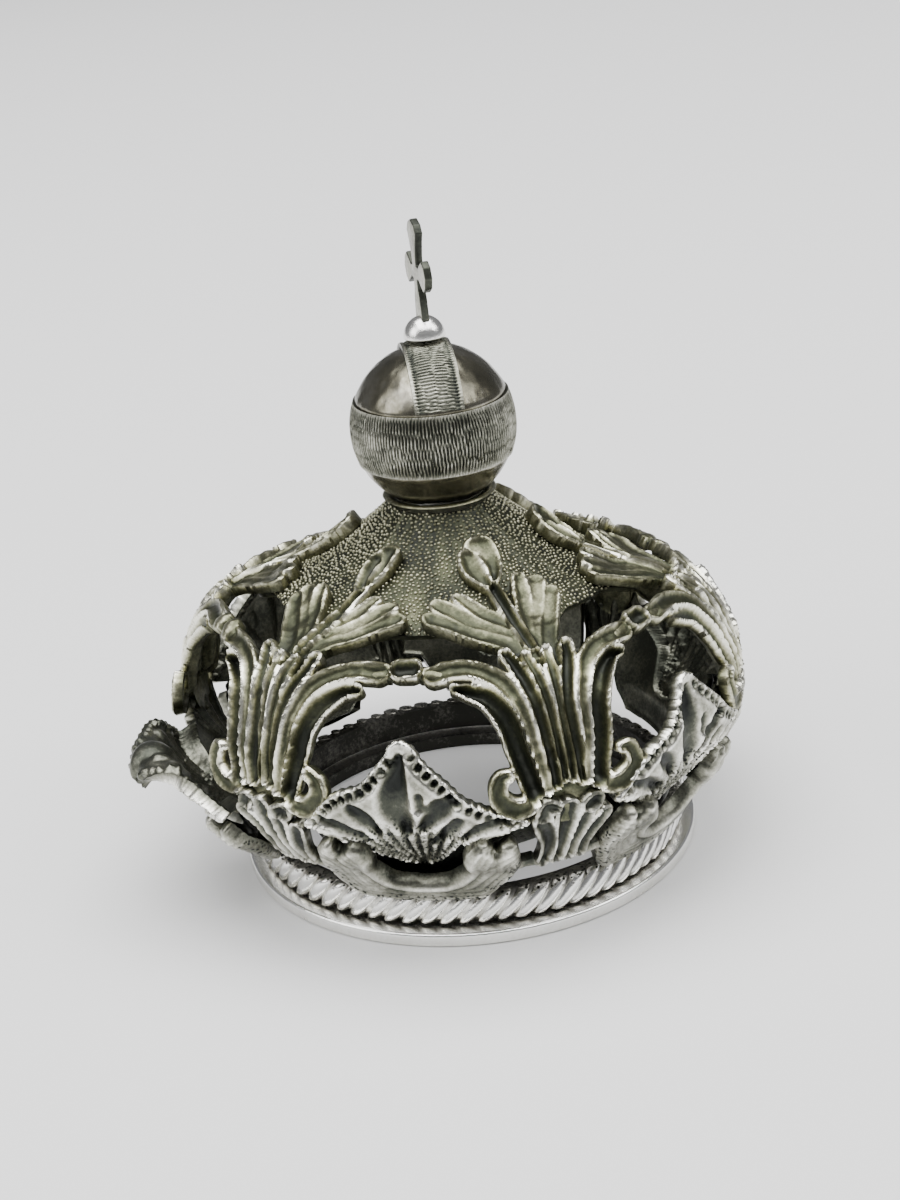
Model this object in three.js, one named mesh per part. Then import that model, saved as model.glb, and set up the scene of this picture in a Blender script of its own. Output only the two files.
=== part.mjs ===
// A small openwork crown of sheet silver, as made for a statue: a base ring, a pierced body of
// six acanthus leaves and six shells, a banded orb and a flat cross.
// Millimetres, +Z up. The origin is under the middle of the crown's whole width and depth, on the
// plane of the ring's flat underside. The pieces are drawn about the ring's own axis, and the
// last step moves them together, because the bent front shell reaches further than the back.
// Azimuth 0 is the front (-Y) and grows anticlockwise seen from above.

import * as THREE from 'three';

// ---- driving dimensions ----
const GAP = 0.3; // clearance kept between pieces that are soldered together

const FLANGE_RADIUS = 25.0;
const RING_BORE_RADIUS = 20.4;
const FLANGE_THICKNESS = 1.5;
const ROPE_RADIUS = 24.1;
const ROPE_TOP = 5.2;
const ROPE_BORE_RADIUS = 21.6;

const BODY_REPEATS = 6;
const SECTOR = 360 / BODY_REPEATS;
const BODY_COLUMNS = 84;
const SHEET_THICKNESS = 0.95;
const BENT_SHELL_ANGLE = 20; // the front shell has been pushed outward about its foot
const BENT_SHELL_HALF_WIDTH = 22;
const SHOULDER_DROP = 2.4; // the shoulder has sunk, most at the azimuth below
const SHOULDER_DROP_AZIMUTH = 236;

const ORB_RADIUS = 8.55;
const ORB_CENTRE_Z = 47.5;
const BAND_HALF_LATITUDE = 22;
const BAND_PROUD = 0.3;
const STRAP_WIDTH = 5.0;
const STRAP_THICKNESS = 0.25;
const STRAP_AZIMUTH = 77.5;
const BEAD_RADIUS = 2.2;

const CROSS_TOP_Z = 69.0;
const CROSS_ARM = 4.0;
const CROSS_UPPER_ARM = 5.4;
const CROSS_THICKNESS = 0.8;
const CROSS_AZIMUTH = -4.5;

// The body's outline, from the rope moulding out to the belly and in to the orb's neck.
const BODY_PROFILE = new THREE.SplineCurve([
  new THREE.Vector2(23.6, ROPE_TOP + GAP),
  new THREE.Vector2(26.2, 9.5),
  new THREE.Vector2(28.7, 13.5),
  new THREE.Vector2(30.1, 18.0),
  new THREE.Vector2(29.8, 22.5),
  new THREE.Vector2(27.5, 26.8),
  new THREE.Vector2(23.4, 30.2),
  new THREE.Vector2(18.6, 32.3),
  new THREE.Vector2(14.0, 34.0),
  new THREE.Vector2(10.0, 36.2),
  new THREE.Vector2(7.1, 38.3),
  new THREE.Vector2(5.5, 39.8),
]);
BODY_PROFILE.arcLengthDivisions = 400;
const BODY_LENGTH = BODY_PROFILE.getLength();
const NECK_Z = 39.8 + GAP;

// ---- small helpers ----
const radians = THREE.MathUtils.degToRad;
const smooth = (x, low, high) => THREE.MathUtils.smoothstep(x, low, high);

function onCircle(radius, azimuth, z) {
  const a = radians(azimuth);
  return new THREE.Vector3(radius * Math.sin(a), -radius * Math.cos(a), z);
}

function silver(color, roughness) {
  return new THREE.MeshStandardMaterial({ color, roughness, metalness: 1 });
}

function piece(name, geometry, material) {
  const mesh = new THREE.Mesh(geometry, material);
  mesh.name = name;
  return mesh;
}

function indexed(positions, triangles) {
  const geometry = new THREE.BufferGeometry();
  geometry.setAttribute('position', new THREE.Float32BufferAttribute(positions, 3));
  geometry.setIndex(triangles);
  geometry.computeVertexNormals();
  return geometry;
}

// A closed profile turned about +Z. Points run anticlockwise with radius across and z up.
function turned(profile, segments) {
  const points = profile.map(([radius, z]) => new THREE.Vector2(radius, z));
  const geometry = new THREE.LatheGeometry(points, segments);
  return geometry.rotateX(Math.PI / 2);
}

function arcPoints(radius, centreZ, fromLatitude, toLatitude, steps) {
  const points = [];
  for (let i = 0; i <= steps; i += 1) {
    const latitude = radians(fromLatitude + ((toLatitude - fromLatitude) * i) / steps);
    points.push([radius * Math.cos(latitude), centreZ + radius * Math.sin(latitude)]);
  }
  return points;
}

// ---- the base ring ----
function baseFlange() {
  const edge = 0.35;
  return turned([
    [RING_BORE_RADIUS, 0],
    [FLANGE_RADIUS - edge, 0],
    [FLANGE_RADIUS, edge],
    [FLANGE_RADIUS, FLANGE_THICKNESS - edge],
    [FLANGE_RADIUS - edge, FLANGE_THICKNESS],
    [RING_BORE_RADIUS, FLANGE_THICKNESS],
    [RING_BORE_RADIUS, 0],
  ], 48);
}

function ropeMoulding() {
  const bottom = FLANGE_THICKNESS + GAP;
  const height = ROPE_TOP - bottom;
  const front = [];
  for (let i = 0; i <= 5; i += 1) {
    const t = i / 5;
    const bulge = Math.sqrt(1 - (2 * t - 1) ** 2);
    front.push([ROPE_RADIUS - 1.1 - 0.5 * t + (1.1 + 0.2 * t) * bulge, bottom + height * t]);
  }
  const inner = ROPE_BORE_RADIUS;
  return turned([[inner, bottom], ...front, [inner, ROPE_TOP], [inner, bottom]], 48);
}

// ---- the pierced body ----
// The pattern is drawn on the body's surface: across is the distance round from the leaf's
// middle line, up is the distance along the outline from the rope moulding.
const profileRadius = (up) => BODY_PROFILE.getPointAt(up / BODY_LENGTH).x;

// How far a point lies inside a tapering stroke whose knots are [degrees, up, half width].
function stroke(across, up, knots) {
  let best = -Infinity;
  for (let i = 0; i + 1 < knots.length; i += 1) {
    const [fromAngle, fromUp, fromWidth] = knots[i];
    const [toAngle, toUp, toWidth] = knots[i + 1];
    const fromX = radians(fromAngle) * profileRadius(fromUp);
    const stepX = radians(toAngle) * profileRadius(toUp) - fromX;
    const stepUp = toUp - fromUp;
    const along = ((across - fromX) * stepX + (up - fromUp) * stepUp) / (stepX ** 2 + stepUp ** 2);
    const t = THREE.MathUtils.clamp(along, 0, 1);
    const distance = Math.hypot(across - fromX - t * stepX, up - fromUp - t * stepUp);
    best = Math.max(best, fromWidth + (toWidth - fromWidth) * t - distance);
  }
  return best;
}

// One acanthus leaf, in degrees from its own middle line.
const LEAF_TRUNK = [[0, 14.5, 3.6], [0, 19, 4.3], [0, 25, 4.4], [0, 29, 3.9]];
const LEAF_WING = [[6.5, 18, 1.5], [7.5, 22, 1.7], [11, 25.3, 1.6], [17, 27.3, 1.4], [24, 28.2, 1.2]];
const LINK = [[24, 28.3, 1.1], [30, 28.4, 1.5]];
const VOLUTE = [[6, 16.6, 1.3], [10.5, 15.9, 1.4], [11.6, 17.6, 1.3]];
const UPPER_LOBE = [[3, 28, 2.5], [8, 32, 2.2], [17, 35.6, 1.8], [22, 36.4, 1.6]];
const FINIAL = [[0, 28, 3.4], [0, 33, 2.2], [-3, 37.5, 1.4], [-1, 42, 2.1], [0, 44.5, 2.1]];

// The foot leaf under it, and its arms to the crescents on each side.
const FOOT_LEAF = [[0, 6.9, 2.6], [0, 10, 3.2], [0, 13.5, 2.8]];
const FOOT_ARM = [[0, 6.3, 1.5], [10, 6.3, 1.5]];

// The crescent under each shell, in degrees from the shell's middle line.
const CRESCENT = [[0, 2.3, 2.0], [8, 2.8, 2.1], [13, 4.9, 2.4], [16, 7.6, 2.6], [16, 9.6, 2.2]];

const FLUTE_PITCH = (2 * 360) / BODY_COLUMNS;
const GROUND_EDGE = 34.2;

// Upper edge of the shell and lower edge of its wings, as [degrees, up].
const SHELL_EDGE = [[0, 21.8], [3, 20.3], [9, 16.6], [16, 14.4], [22, 12.4]];
const SHELL_FOOT = [[0, 4.4], [8, 4.8], [10, 10.0], [22, 12.0]];

function between(x, knots) {
  const last = knots.length - 1;
  const k = Math.min(Math.max(knots.findIndex(([knot]) => knot > x), 1), last);
  const next = x >= knots[last][0] ? last : k;
  const [fromX, fromY] = knots[next - 1];
  const [toX, toY] = knots[next];
  return THREE.MathUtils.mapLinear(x, fromX, toX, fromY, toY);
}

function shellField(angle, up) {
  return Math.min(between(angle, SHELL_EDGE) - up, up - between(angle, SHELL_FOOT));
}

// Each part of the pattern with its field and the height it stands proud of the outline.
function patternParts(azimuth, up) {
  const leafAngle = THREE.MathUtils.euclideanModulo(azimuth, SECTOR) - SECTOR / 2;
  const side = Math.abs(leafAngle);
  const shellAngle = SECTOR / 2 - side;
  const radius = profileRadius(up);
  const leafX = radians(side) * radius;
  const shellX = radians(shellAngle) * radius;
  const flute = 0.45 * Math.cos((2 * Math.PI * side) / FLUTE_PITCH);
  const fan = Math.atan2(radians(shellAngle) * 28, Math.max(up - 4, 0.5));
  const rib = 0.3 * Math.cos(9 * fan);
  const parts = [
    { field: up - GROUND_EDGE, height: -0.2 },
    { field: stroke(leafX, up, LEAF_TRUNK), height: 0.5 + flute },
    { field: stroke(leafX, up, LEAF_WING), height: 0.5 },
    { field: stroke(leafX, up, LINK), height: 0.6 },
    { field: stroke(leafX, up, VOLUTE), height: 0.8 },
    { field: stroke(leafX, up, UPPER_LOBE), height: 0.6 },
    { field: stroke(radians(leafAngle) * radius, up, FINIAL), height: 0.5 },
    { field: stroke(leafX, up, FOOT_LEAF), height: 0.2 },
    { field: stroke(leafX, up, FOOT_ARM), height: 0.1 },
    { field: stroke(shellX, up, CRESCENT), height: 1.3 },
    { field: shellField(shellAngle, up), height: -0.9 + 2.1 * smooth(up, 5, 14) + rib },
  ];
  return parts;
}

function bodyField(azimuth, up) {
  return Math.max(...patternParts(azimuth, up).map((part) => part.field));
}

// The tallest part that covers a point sets its height, faded in over its edge.
function bodyHeight(azimuth, up) {
  let height = -0.4;
  for (const part of patternParts(azimuth, up)) {
    const cover = smooth(part.field, -1.0, 0.6);
    height = Math.max(height, part.height * cover - 0.4 * (1 - cover));
  }
  return height;
}

function bodyPoint(azimuth, up, depth) {
  const t = THREE.MathUtils.clamp(up / BODY_LENGTH, 0, 1);
  const base = BODY_PROFILE.getPointAt(t);
  const tangent = BODY_PROFILE.getTangentAt(t);
  const edge = smooth(up, 0, 2) * smooth(BODY_LENGTH - up, 0, 2);
  const relief = bodyHeight(azimuth, up) * edge;
  const offset = relief * (0.6 + 0.4 * depth) - (1 - depth) * SHEET_THICKNESS;
  const radius = base.x + tangent.y * offset;
  const z = base.y - tangent.x * offset - settle(azimuth, up);
  return bendFront(azimuth, up, radius, z);
}

// How far the shoulder has sunk, most at one azimuth and fading to nothing opposite it.
function settle(azimuth, up) {
  const around = 0.5 + 0.5 * Math.cos(radians(azimuth - SHOULDER_DROP_AZIMUTH));
  return SHOULDER_DROP * around ** 2 * smooth(up, 16, 28) * smooth(BODY_LENGTH - up, 2, 14);
}

// The front crescent and shell lean outward, turned about their foot on the rope moulding.
function bendFront(azimuth, up, radius, z) {
  const turn = THREE.MathUtils.euclideanModulo(azimuth + 180, 360) - 180;
  const across = 1 - smooth(Math.abs(turn), BENT_SHELL_HALF_WIDTH - 8, BENT_SHELL_HALF_WIDTH);
  const along = 1 - smooth(up, 21, 23);
  const angle = radians(BENT_SHELL_ANGLE) * across * along;
  const foot = BODY_PROFILE.getPointAt(0);
  const outward = radius - foot.x;
  const upward = z - foot.y;
  return onCircle(
    foot.x + outward * Math.cos(angle) + upward * Math.sin(angle),
    azimuth,
    foot.y + upward * Math.cos(angle) - outward * Math.sin(angle) * smooth(up, 0, 4),
  );
}

// Row positions along the outline: close together over the ornament, wider on the plain dome.
function bodyRows() {
  const rows = [];
  const bands = [[0, 22, 11], [22, GROUND_EDGE, 6], [GROUND_EDGE, BODY_LENGTH, 4]];
  for (const [from, to, count] of bands) {
    for (let i = 0; i < count; i += 1) {
      rows.push(from + ((to - from) * i) / count);
    }
  }
  rows.push(BODY_LENGTH);
  return rows;
}

// The sheet: cells of the grid are cut along the pattern's edge, then given inner and side walls.
function piercedSheet(columns, rows, field, point) {
  const vertices = new Map();
  const spots = [];
  const corner = (i, j) => {
    const column = j % columns;
    return { key: `${i}:${column}`, azimuth: (360 * column) / columns, up: rows[i], i, j };
  };
  const value = new Map();
  const fieldAt = (c) => {
    if (!value.has(c.key)) value.set(c.key, field(c.azimuth, c.up));
    return value.get(c.key);
  };
  const vertex = (key, azimuth, up) => {
    if (!vertices.has(key)) {
      vertices.set(key, spots.length);
      spots.push([azimuth, up]);
    }
    return vertices.get(key);
  };
  const crossing = (a, b) => {
    const t = THREE.MathUtils.clamp(fieldAt(a) / (fieldAt(a) - fieldAt(b)), 0.12, 0.88);
    const turn = THREE.MathUtils.euclideanModulo(b.azimuth - a.azimuth + 180, 360) - 180;
    const key = a.key < b.key ? `${a.key}|${b.key}` : `${b.key}|${a.key}`;
    return vertex(key, a.azimuth + t * turn, a.up + t * (b.up - a.up));
  };
  const triangles = [];
  const fan = (polygon) => {
    for (let k = 1; k + 1 < polygon.length; k += 1) {
      triangles.push([polygon[0], polygon[k], polygon[k + 1]]);
    }
  };
  for (let i = 0; i + 1 < rows.length; i += 1) {
    for (let j = 0; j < columns; j += 1) {
      const corners = [corner(i, j), corner(i, j + 1), corner(i + 1, j + 1), corner(i + 1, j)];
      const inside = corners.map((c) => fieldAt(c) > 0);
      const saddle = inside[0] === inside[2] && inside[1] === inside[3] && inside[0] !== inside[1];
      const middle = corners.reduce((sum, c) => sum + fieldAt(c), 0);
      const polygon = [];
      corners.forEach((c, k) => {
        const next = (k + 1) % 4;
        if (inside[k]) polygon.push(vertex(c.key, c.azimuth, c.up));
        if (inside[k] !== inside[next]) polygon.push(crossing(c, corners[next]));
      });
      if (saddle && middle <= 0) {
        const shift = inside[0] ? 5 : 0;
        const ring = polygon.map((_, k) => polygon[(k + shift) % 6]);
        fan(ring.slice(0, 3));
        fan(ring.slice(3));
      } else if (polygon.length > 2) {
        fan(polygon);
      }
    }
  }
  return closeSheet(spots, triangles, point);
}

function closeSheet(spots, triangles, point) {
  const positions = [];
  for (const depth of [1, 0]) {
    for (const [azimuth, up] of spots) positions.push(...point(azimuth, up, depth).toArray());
  }
  const count = spots.length;
  const edges = new Set();
  for (const [a, b, c] of triangles) {
    for (const [from, to] of [[a, b], [b, c], [c, a]]) edges.add(`${from},${to}`);
  }
  const faces = [];
  for (const [a, b, c] of triangles) {
    faces.push(a, b, c, c + count, b + count, a + count);
    for (const [from, to] of [[a, b], [b, c], [c, a]]) {
      if (!edges.has(`${to},${from}`)) {
        faces.push(to, from, from + count, to, from + count, to + count);
      }
    }
  }
  return indexed(positions, faces);
}

// ---- the orb ----
function neckRing() {
  return turned([
    [4.7, NECK_Z],
    [5.7, NECK_Z],
    [6.0, NECK_Z + 0.25],
    [5.6, NECK_Z + 0.5],
    [4.7, NECK_Z],
  ], 24);
}

function orb() {
  const seat = ORB_RADIUS - GAP;
  const edge = BAND_HALF_LATITUDE + 1.2;
  return turned([
    ...arcPoints(ORB_RADIUS, ORB_CENTRE_Z, -90, -edge, 5).map(([r, z], i) => [i === 0 ? 0 : r, z]),
    ...arcPoints(seat, ORB_CENTRE_Z, -edge, edge, 4),
    ...arcPoints(ORB_RADIUS, ORB_CENTRE_Z, edge, 90, 5).map(([r, z], i) => [i === 5 ? 0 : r, z]),
  ], 30);
}

function orbBand() {
  const inner = arcPoints(ORB_RADIUS, ORB_CENTRE_Z, BAND_HALF_LATITUDE, -BAND_HALF_LATITUDE, 3);
  const outer = arcPoints(
    ORB_RADIUS + BAND_PROUD, ORB_CENTRE_Z, -BAND_HALF_LATITUDE, BAND_HALF_LATITUDE, 3);
  return turned([...inner, ...outer, inner[0]], 30);
}

// A half hoop over the top of the orb, from the band on one side to the band on the other.
function orbStrap() {
  const reach = 90 - BAND_HALF_LATITUDE - 2.6;
  const along = 14;
  const across = 4;
  const inner = ORB_RADIUS + GAP;
  const positions = [];
  for (const radius of [inner + STRAP_THICKNESS, inner]) {
    for (let i = 0; i <= along; i += 1) {
      const tilt = radians(-reach + (2 * reach * i) / along);
      for (let j = 0; j <= across; j += 1) {
        const side = (j / across - 0.5) * STRAP_WIDTH;
        const rise = Math.sqrt(radius ** 2 - side ** 2);
        positions.push(side, -rise * Math.sin(tilt), rise * Math.cos(tilt));
      }
    }
  }
  const width = across + 1;
  const skin = (along + 1) * width;
  const faces = [];
  const quad = (a, b, c, d) => faces.push(a, b, c, a, c, d);
  for (let i = 0; i < along; i += 1) {
    for (let j = 0; j < across; j += 1) {
      const a = i * width + j;
      quad(a, a + width, a + width + 1, a + 1);
      quad(skin + a, skin + a + 1, skin + a + width + 1, skin + a + width);
    }
    const left = i * width;
    const right = left + across;
    quad(left, skin + left, skin + left + width, left + width);
    quad(right, right + width, skin + right + width, skin + right);
  }
  for (let j = 0; j < across; j += 1) {
    const far = along * width + j;
    quad(j, j + 1, skin + j + 1, skin + j);
    quad(far, skin + far, skin + far + 1, far + 1);
  }
  const geometry = indexed(positions, faces);
  if (signedVolume(geometry) < 0) geometry.setIndex(faces.reverse());
  geometry.rotateZ(radians(STRAP_AZIMUTH));
  return geometry.translate(0, 0, ORB_CENTRE_Z);
}

function signedVolume(geometry) {
  const position = geometry.getAttribute('position');
  const index = geometry.getIndex();
  const corner = (k) => new THREE.Vector3().fromBufferAttribute(position, index.getX(k));
  let volume = 0;
  for (let k = 0; k < index.count; k += 3) {
    volume += corner(k).dot(corner(k + 1).cross(corner(k + 2))) / 6;
  }
  return volume;
}

const BEAD_Z = ORB_CENTRE_Z + ORB_RADIUS + GAP + STRAP_THICKNESS + GAP;

function topBead() {
  const dome = arcPoints(BEAD_RADIUS, BEAD_Z, 0, 90, 5);
  return turned([[0, BEAD_Z], ...dome.slice(0, -1), [0, BEAD_Z + BEAD_RADIUS]], 18);
}

// ---- the cross ----
// A flat plate whose four arms widen to a shoulder and end in a blunt point.
function crossPlate() {
  const foot = BEAD_Z + BEAD_RADIUS + GAP;
  const centre = CROSS_TOP_Z - CROSS_UPPER_ARM;
  const neck = 0.65;
  const shoulder = 1.75;
  const tip = 0.3;
  const outline = [];
  const arm = (length, quarter) => {
    const turn = (x, y) => new THREE.Vector2(x, y).rotateAround(new THREE.Vector2(), quarter);
    outline.push(turn(neck, neck), turn(shoulder, length - 1.5), turn(shoulder, length - 1.0));
    outline.push(turn(tip, length), turn(-tip, length));
    outline.push(turn(-shoulder, length - 1.0), turn(-shoulder, length - 1.5));
  };
  arm(CROSS_UPPER_ARM, 0);
  arm(CROSS_ARM, Math.PI / 2);
  outline.push(new THREE.Vector2(-neck, -neck), new THREE.Vector2(-1.3, foot - centre + 1.7));
  outline.push(new THREE.Vector2(-0.6, foot - centre), new THREE.Vector2(0.6, foot - centre));
  outline.push(new THREE.Vector2(1.3, foot - centre + 1.7));
  arm(CROSS_ARM, -Math.PI / 2);
  const shape = new THREE.Shape(outline);
  const geometry = new THREE.ExtrudeGeometry(shape, { depth: CROSS_THICKNESS, bevelEnabled: false });
  geometry.translate(0, 0, -CROSS_THICKNESS / 2);
  geometry.rotateX(Math.PI / 2);
  geometry.rotateZ(radians(CROSS_AZIMUTH));
  return geometry.translate(0, 0, centre);
}

// ---- the crown ----
const group = new THREE.Group();
group.add(
  piece('base_flange', baseFlange(), silver(0xd9d6cf, 0.25)),
  piece('rope_moulding', ropeMoulding(), silver(0xd2cfc6, 0.3)),
  piece('crown_body', piercedSheet(BODY_COLUMNS, bodyRows(), bodyField, bodyPoint),
    silver(0x9a988a, 0.4)),
  piece('neck_ring', neckRing(), silver(0x55564f, 0.45)),
  piece('orb', orb(), silver(0xa9a79b, 0.25)),
  piece('orb_band', orbBand(), silver(0x8f8d82, 0.5)),
  piece('orb_strap', orbStrap(), silver(0x85847a, 0.5)),
  piece('top_bead', topBead(), silver(0xb5b3a8, 0.25)),
  piece('cross', crossPlate(), silver(0xc4c2bc, 0.3)),
);
const extent = new THREE.Box3().setFromObject(group).getCenter(new THREE.Vector3());
group.position.set(-extent.x, -extent.y, 0);
export default group;
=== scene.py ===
# %% [markdown]
# # A small openwork crown of chased silver
#
# The real crown was made for a statue. A pierced and chased sheet stands on a ring: six
# acanthus leaves rise to a domed top, six shells stand in crescents between them, and a banded
# orb carries a flat cross. This lesson builds each worked piece as a thin closed mesh on one
# shared outline, and gives every point a *wear* value, so that one family of silver materials
# can be bright on the ridges and almost black in the hollows.
#
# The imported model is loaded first. It is the fixed frame, so its box is kept from the start.

# %% Load the frame
import math

import bmesh
import bpy
import numpy as np
from mathutils import Matrix, Vector


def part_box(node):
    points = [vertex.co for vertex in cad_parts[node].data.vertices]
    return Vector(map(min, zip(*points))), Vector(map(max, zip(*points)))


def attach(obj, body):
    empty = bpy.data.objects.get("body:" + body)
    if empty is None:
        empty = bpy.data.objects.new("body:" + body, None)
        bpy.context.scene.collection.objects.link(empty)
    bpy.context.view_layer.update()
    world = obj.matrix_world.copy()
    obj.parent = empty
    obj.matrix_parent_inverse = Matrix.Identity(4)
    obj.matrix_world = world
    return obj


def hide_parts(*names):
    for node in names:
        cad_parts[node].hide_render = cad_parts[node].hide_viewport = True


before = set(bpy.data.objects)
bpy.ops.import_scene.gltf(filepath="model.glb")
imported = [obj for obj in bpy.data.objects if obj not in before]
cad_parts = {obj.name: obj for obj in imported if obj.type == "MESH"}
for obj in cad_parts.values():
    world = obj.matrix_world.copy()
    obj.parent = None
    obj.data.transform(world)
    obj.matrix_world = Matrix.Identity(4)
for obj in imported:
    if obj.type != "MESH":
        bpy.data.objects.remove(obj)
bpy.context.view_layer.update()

MM = 0.001
ring_low, ring_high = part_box("base_flange")
RING_MIDDLE = (ring_low + ring_high) / 2 / MM
FLANGE_RADIUS = (ring_high.x - ring_low.x) / 2 / MM

# %% [markdown]
# ## The camera
#
# The crown is seen from a little above, with its left side turned away, and the camera is tipped
# so that the crown leans slightly. The camera's axes are worked out from four angles about the
# ring's middle, which is easier to reason about than an Euler triple.

# %% Set the camera
VIEW_AZIMUTH = math.radians(71.5)
VIEW_ELEVATION = math.radians(28.8)
VIEW_DISTANCE = 226.8
CAMERA_PITCH = math.radians(22.31)
CAMERA_ROLL = math.radians(-5.51)


def add_camera():
    level = VIEW_DISTANCE * math.cos(VIEW_ELEVATION)
    place = Vector((0, -level, VIEW_DISTANCE * math.sin(VIEW_ELEVATION)))
    forward = Vector((0, math.cos(CAMERA_PITCH), -math.sin(CAMERA_PITCH)))
    right = Vector((1, 0, 0))
    up = right.cross(forward)
    tipped_right = math.cos(CAMERA_ROLL) * right + math.sin(CAMERA_ROLL) * up
    tipped_up = math.cos(CAMERA_ROLL) * up - math.sin(CAMERA_ROLL) * right
    turn = Matrix.Rotation(VIEW_AZIMUTH, 4, "Z")
    axes = Matrix((tipped_right, tipped_up, -forward)).transposed().to_4x4()
    centre = Vector((RING_MIDDLE.x, RING_MIDDLE.y, 0))
    camera = bpy.data.objects.new("camera", bpy.data.cameras.new("camera"))
    camera.matrix_world = Matrix.Translation(((turn @ place) + centre) * MM) @ turn @ axes
    camera.data.lens = 60
    camera.data.sensor_width = 36
    camera.data.clip_start = 0.005
    bpy.context.scene.collection.objects.link(camera)
    bpy.context.scene.camera = camera
    return camera


print("camera at", add_camera().location[:])

# %% [markdown]
# ## Silver
#
# Old silver is one metal with many faces: rubbed bright where hands touch it, warm grey on the
# flats, and olive to black where tarnish stays. Each mesh carries a *wear* attribute from 0 in a
# hollow to 1 on a ridge; on the shells and on the inner skins it also carries painted shade. The
# material mixes tarnish and bare metal by it, breaks the mix up with noise so that no edge is even,
# and adds a fine bump of scratches and pits.

# %% Build a silver material


class Tree:
    """Adds nodes to a shader or geometry tree. An input is a value or another node's output."""

    def __init__(self, tree):
        self.tree = tree

    def add(self, kind, inputs=None, **settings):
        made = self.tree.nodes.new(kind)
        for name, value in settings.items():
            setattr(made, name, value)
        return self.join(made, inputs or {})

    def join(self, made, inputs):
        for name, value in inputs.items():
            if isinstance(value, bpy.types.NodeSocket):
                self.tree.links.new(value, made.inputs[name])
            else:
                made.inputs[name].default_value = value
        return made

    def math(self, operation, first, second=0.0):
        return self.add("ShaderNodeMath", {0: first, 1: second}, operation=operation).outputs[0]

    def noise(self, where, scale, detail, roughness):
        inputs = {"Vector": where, "Scale": scale, "Detail": detail, "Roughness": roughness}
        return self.add("ShaderNodeTexNoise", inputs).outputs["Fac"]

    def ramp(self, value, stops):
        made = self.add("ShaderNodeValToRGB", {"Fac": value})
        while len(made.color_ramp.elements) < len(stops):
            made.color_ramp.elements.new(0.5)
        for element, (position, colour) in zip(made.color_ramp.elements, stops):
            element.position = position
            element.color = (*colour, 1)
        return made.outputs["Color"]

    def span(self, value, inputs, **settings):
        made = self.add("ShaderNodeMapRange", {"Value": value, **inputs}, **settings)
        return made.outputs["Result"]


CLOUD_SCALE, SPECK_SCALE, PIT_SCALE, PUNCH_SCALE = 240, 2600, 1900, 2100
BUMP_DEPTH = 0.12 * MM


def silver(name, stops, rough, patch=0.22, tarnish_metal=0.55, grain=0.25, speckle=0.30):
    """stops: wear to colour; rough: roughness in the hollows and on the ridges."""
    material = bpy.data.materials.new(name)
    material.use_nodes = True
    tree = Tree(material.node_tree)
    where = tree.add("ShaderNodeTexCoord").outputs["Object"]
    worn = tree.add("ShaderNodeAttribute", attribute_name="wear").outputs["Fac"]
    cloudy = tree.noise(where, CLOUD_SCALE, 5, 0.6)
    fine = tree.noise(where, SPECK_SCALE, 2, 0.7)
    shift = tree.math("MULTIPLY", tree.math("SUBTRACT", cloudy, 0.5), patch * 2)
    speck = tree.math("MULTIPLY", tree.math("SUBTRACT", fine, 0.5), speckle)
    dots = tree.add("ShaderNodeTexVoronoi", {"Vector": where, "Scale": PUNCH_SCALE}).outputs["Distance"]
    hit = tree.span(dots, {"From Min": 0.20, "From Max": 0.42, "To Min": 1, "To Max": 0},
                    interpolation_type="SMOOTHSTEP")
    punched = tree.add("ShaderNodeAttribute", attribute_name="punch").outputs["Fac"]
    marks = tree.math("MULTIPLY", hit, punched)
    level = tree.math("ADD", tree.math("ADD", worn, shift), speck)
    level = tree.math("SUBTRACT", level, tree.math("MULTIPLY", marks, 0.65))
    pits = tree.math("ADD", tree.noise(where, PIT_SCALE, 4, 0.7), cloudy)
    pits = tree.math("SUBTRACT", pits, tree.math("MULTIPLY", marks, 1.5))
    bump = tree.add("ShaderNodeBump", {"Strength": grain, "Distance": BUMP_DEPTH, "Height": pits})
    tree.join(material.node_tree.nodes["Principled BSDF"], {
        "Base Color": tree.ramp(level, stops),
        "Roughness": tree.span(level, {"To Min": rough[0], "To Max": rough[1]}),
        "Metallic": tree.span(level, {"From Max": 0.45, "To Min": tarnish_metal}),
        "Normal": bump.outputs["Normal"]})
    return material


CHASED = silver("chased_silver", [
    (0.12, (0.013, 0.015, 0.010)), (0.36, (0.060, 0.064, 0.038)), (0.52, (0.175, 0.174, 0.112)),
    (0.66, (0.42, 0.410, 0.295)), (0.86, (0.90, 0.885, 0.76))], (0.48, 0.22))
GREY = silver("grey_silver", [
    (0.12, (0.012, 0.014, 0.012)), (0.36, (0.062, 0.066, 0.052)), (0.52, (0.205, 0.205, 0.165)),
    (0.66, (0.43, 0.425, 0.365)), (0.86, (0.88, 0.875, 0.80))], (0.45, 0.24))
BRIGHT = silver("bright_silver", [
    (0.05, (0.03, 0.03, 0.025)), (0.30, (0.30, 0.29, 0.26)), (0.52, (0.76, 0.75, 0.70)),
    (0.80, (0.97, 0.965, 0.94))], (0.4, 0.17), patch=0.18, tarnish_metal=0.8)
POLISHED = silver("ball_silver", [
    (0.10, (0.03, 0.03, 0.022)), (0.34, (0.17, 0.16, 0.12)), (0.52, (0.42, 0.40, 0.34)),
    (0.80, (0.85, 0.84, 0.78))], (0.3, 0.10), patch=0.42, tarnish_metal=0.85, grain=0.08, speckle=0.12)
print("silver:", [m.name for m in (CHASED, GREY, BRIGHT, POLISHED)])

# %% [markdown]
# ## One outline for the whole body
#
# The pierced body follows one smooth outline, turned about the ring's axis. A point on it is
# given by how far it lies round from a piece's middle line, how far up the outline, and how far
# out from it. Every ornament below is drawn in that flat space and then placed on the outline.

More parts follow.
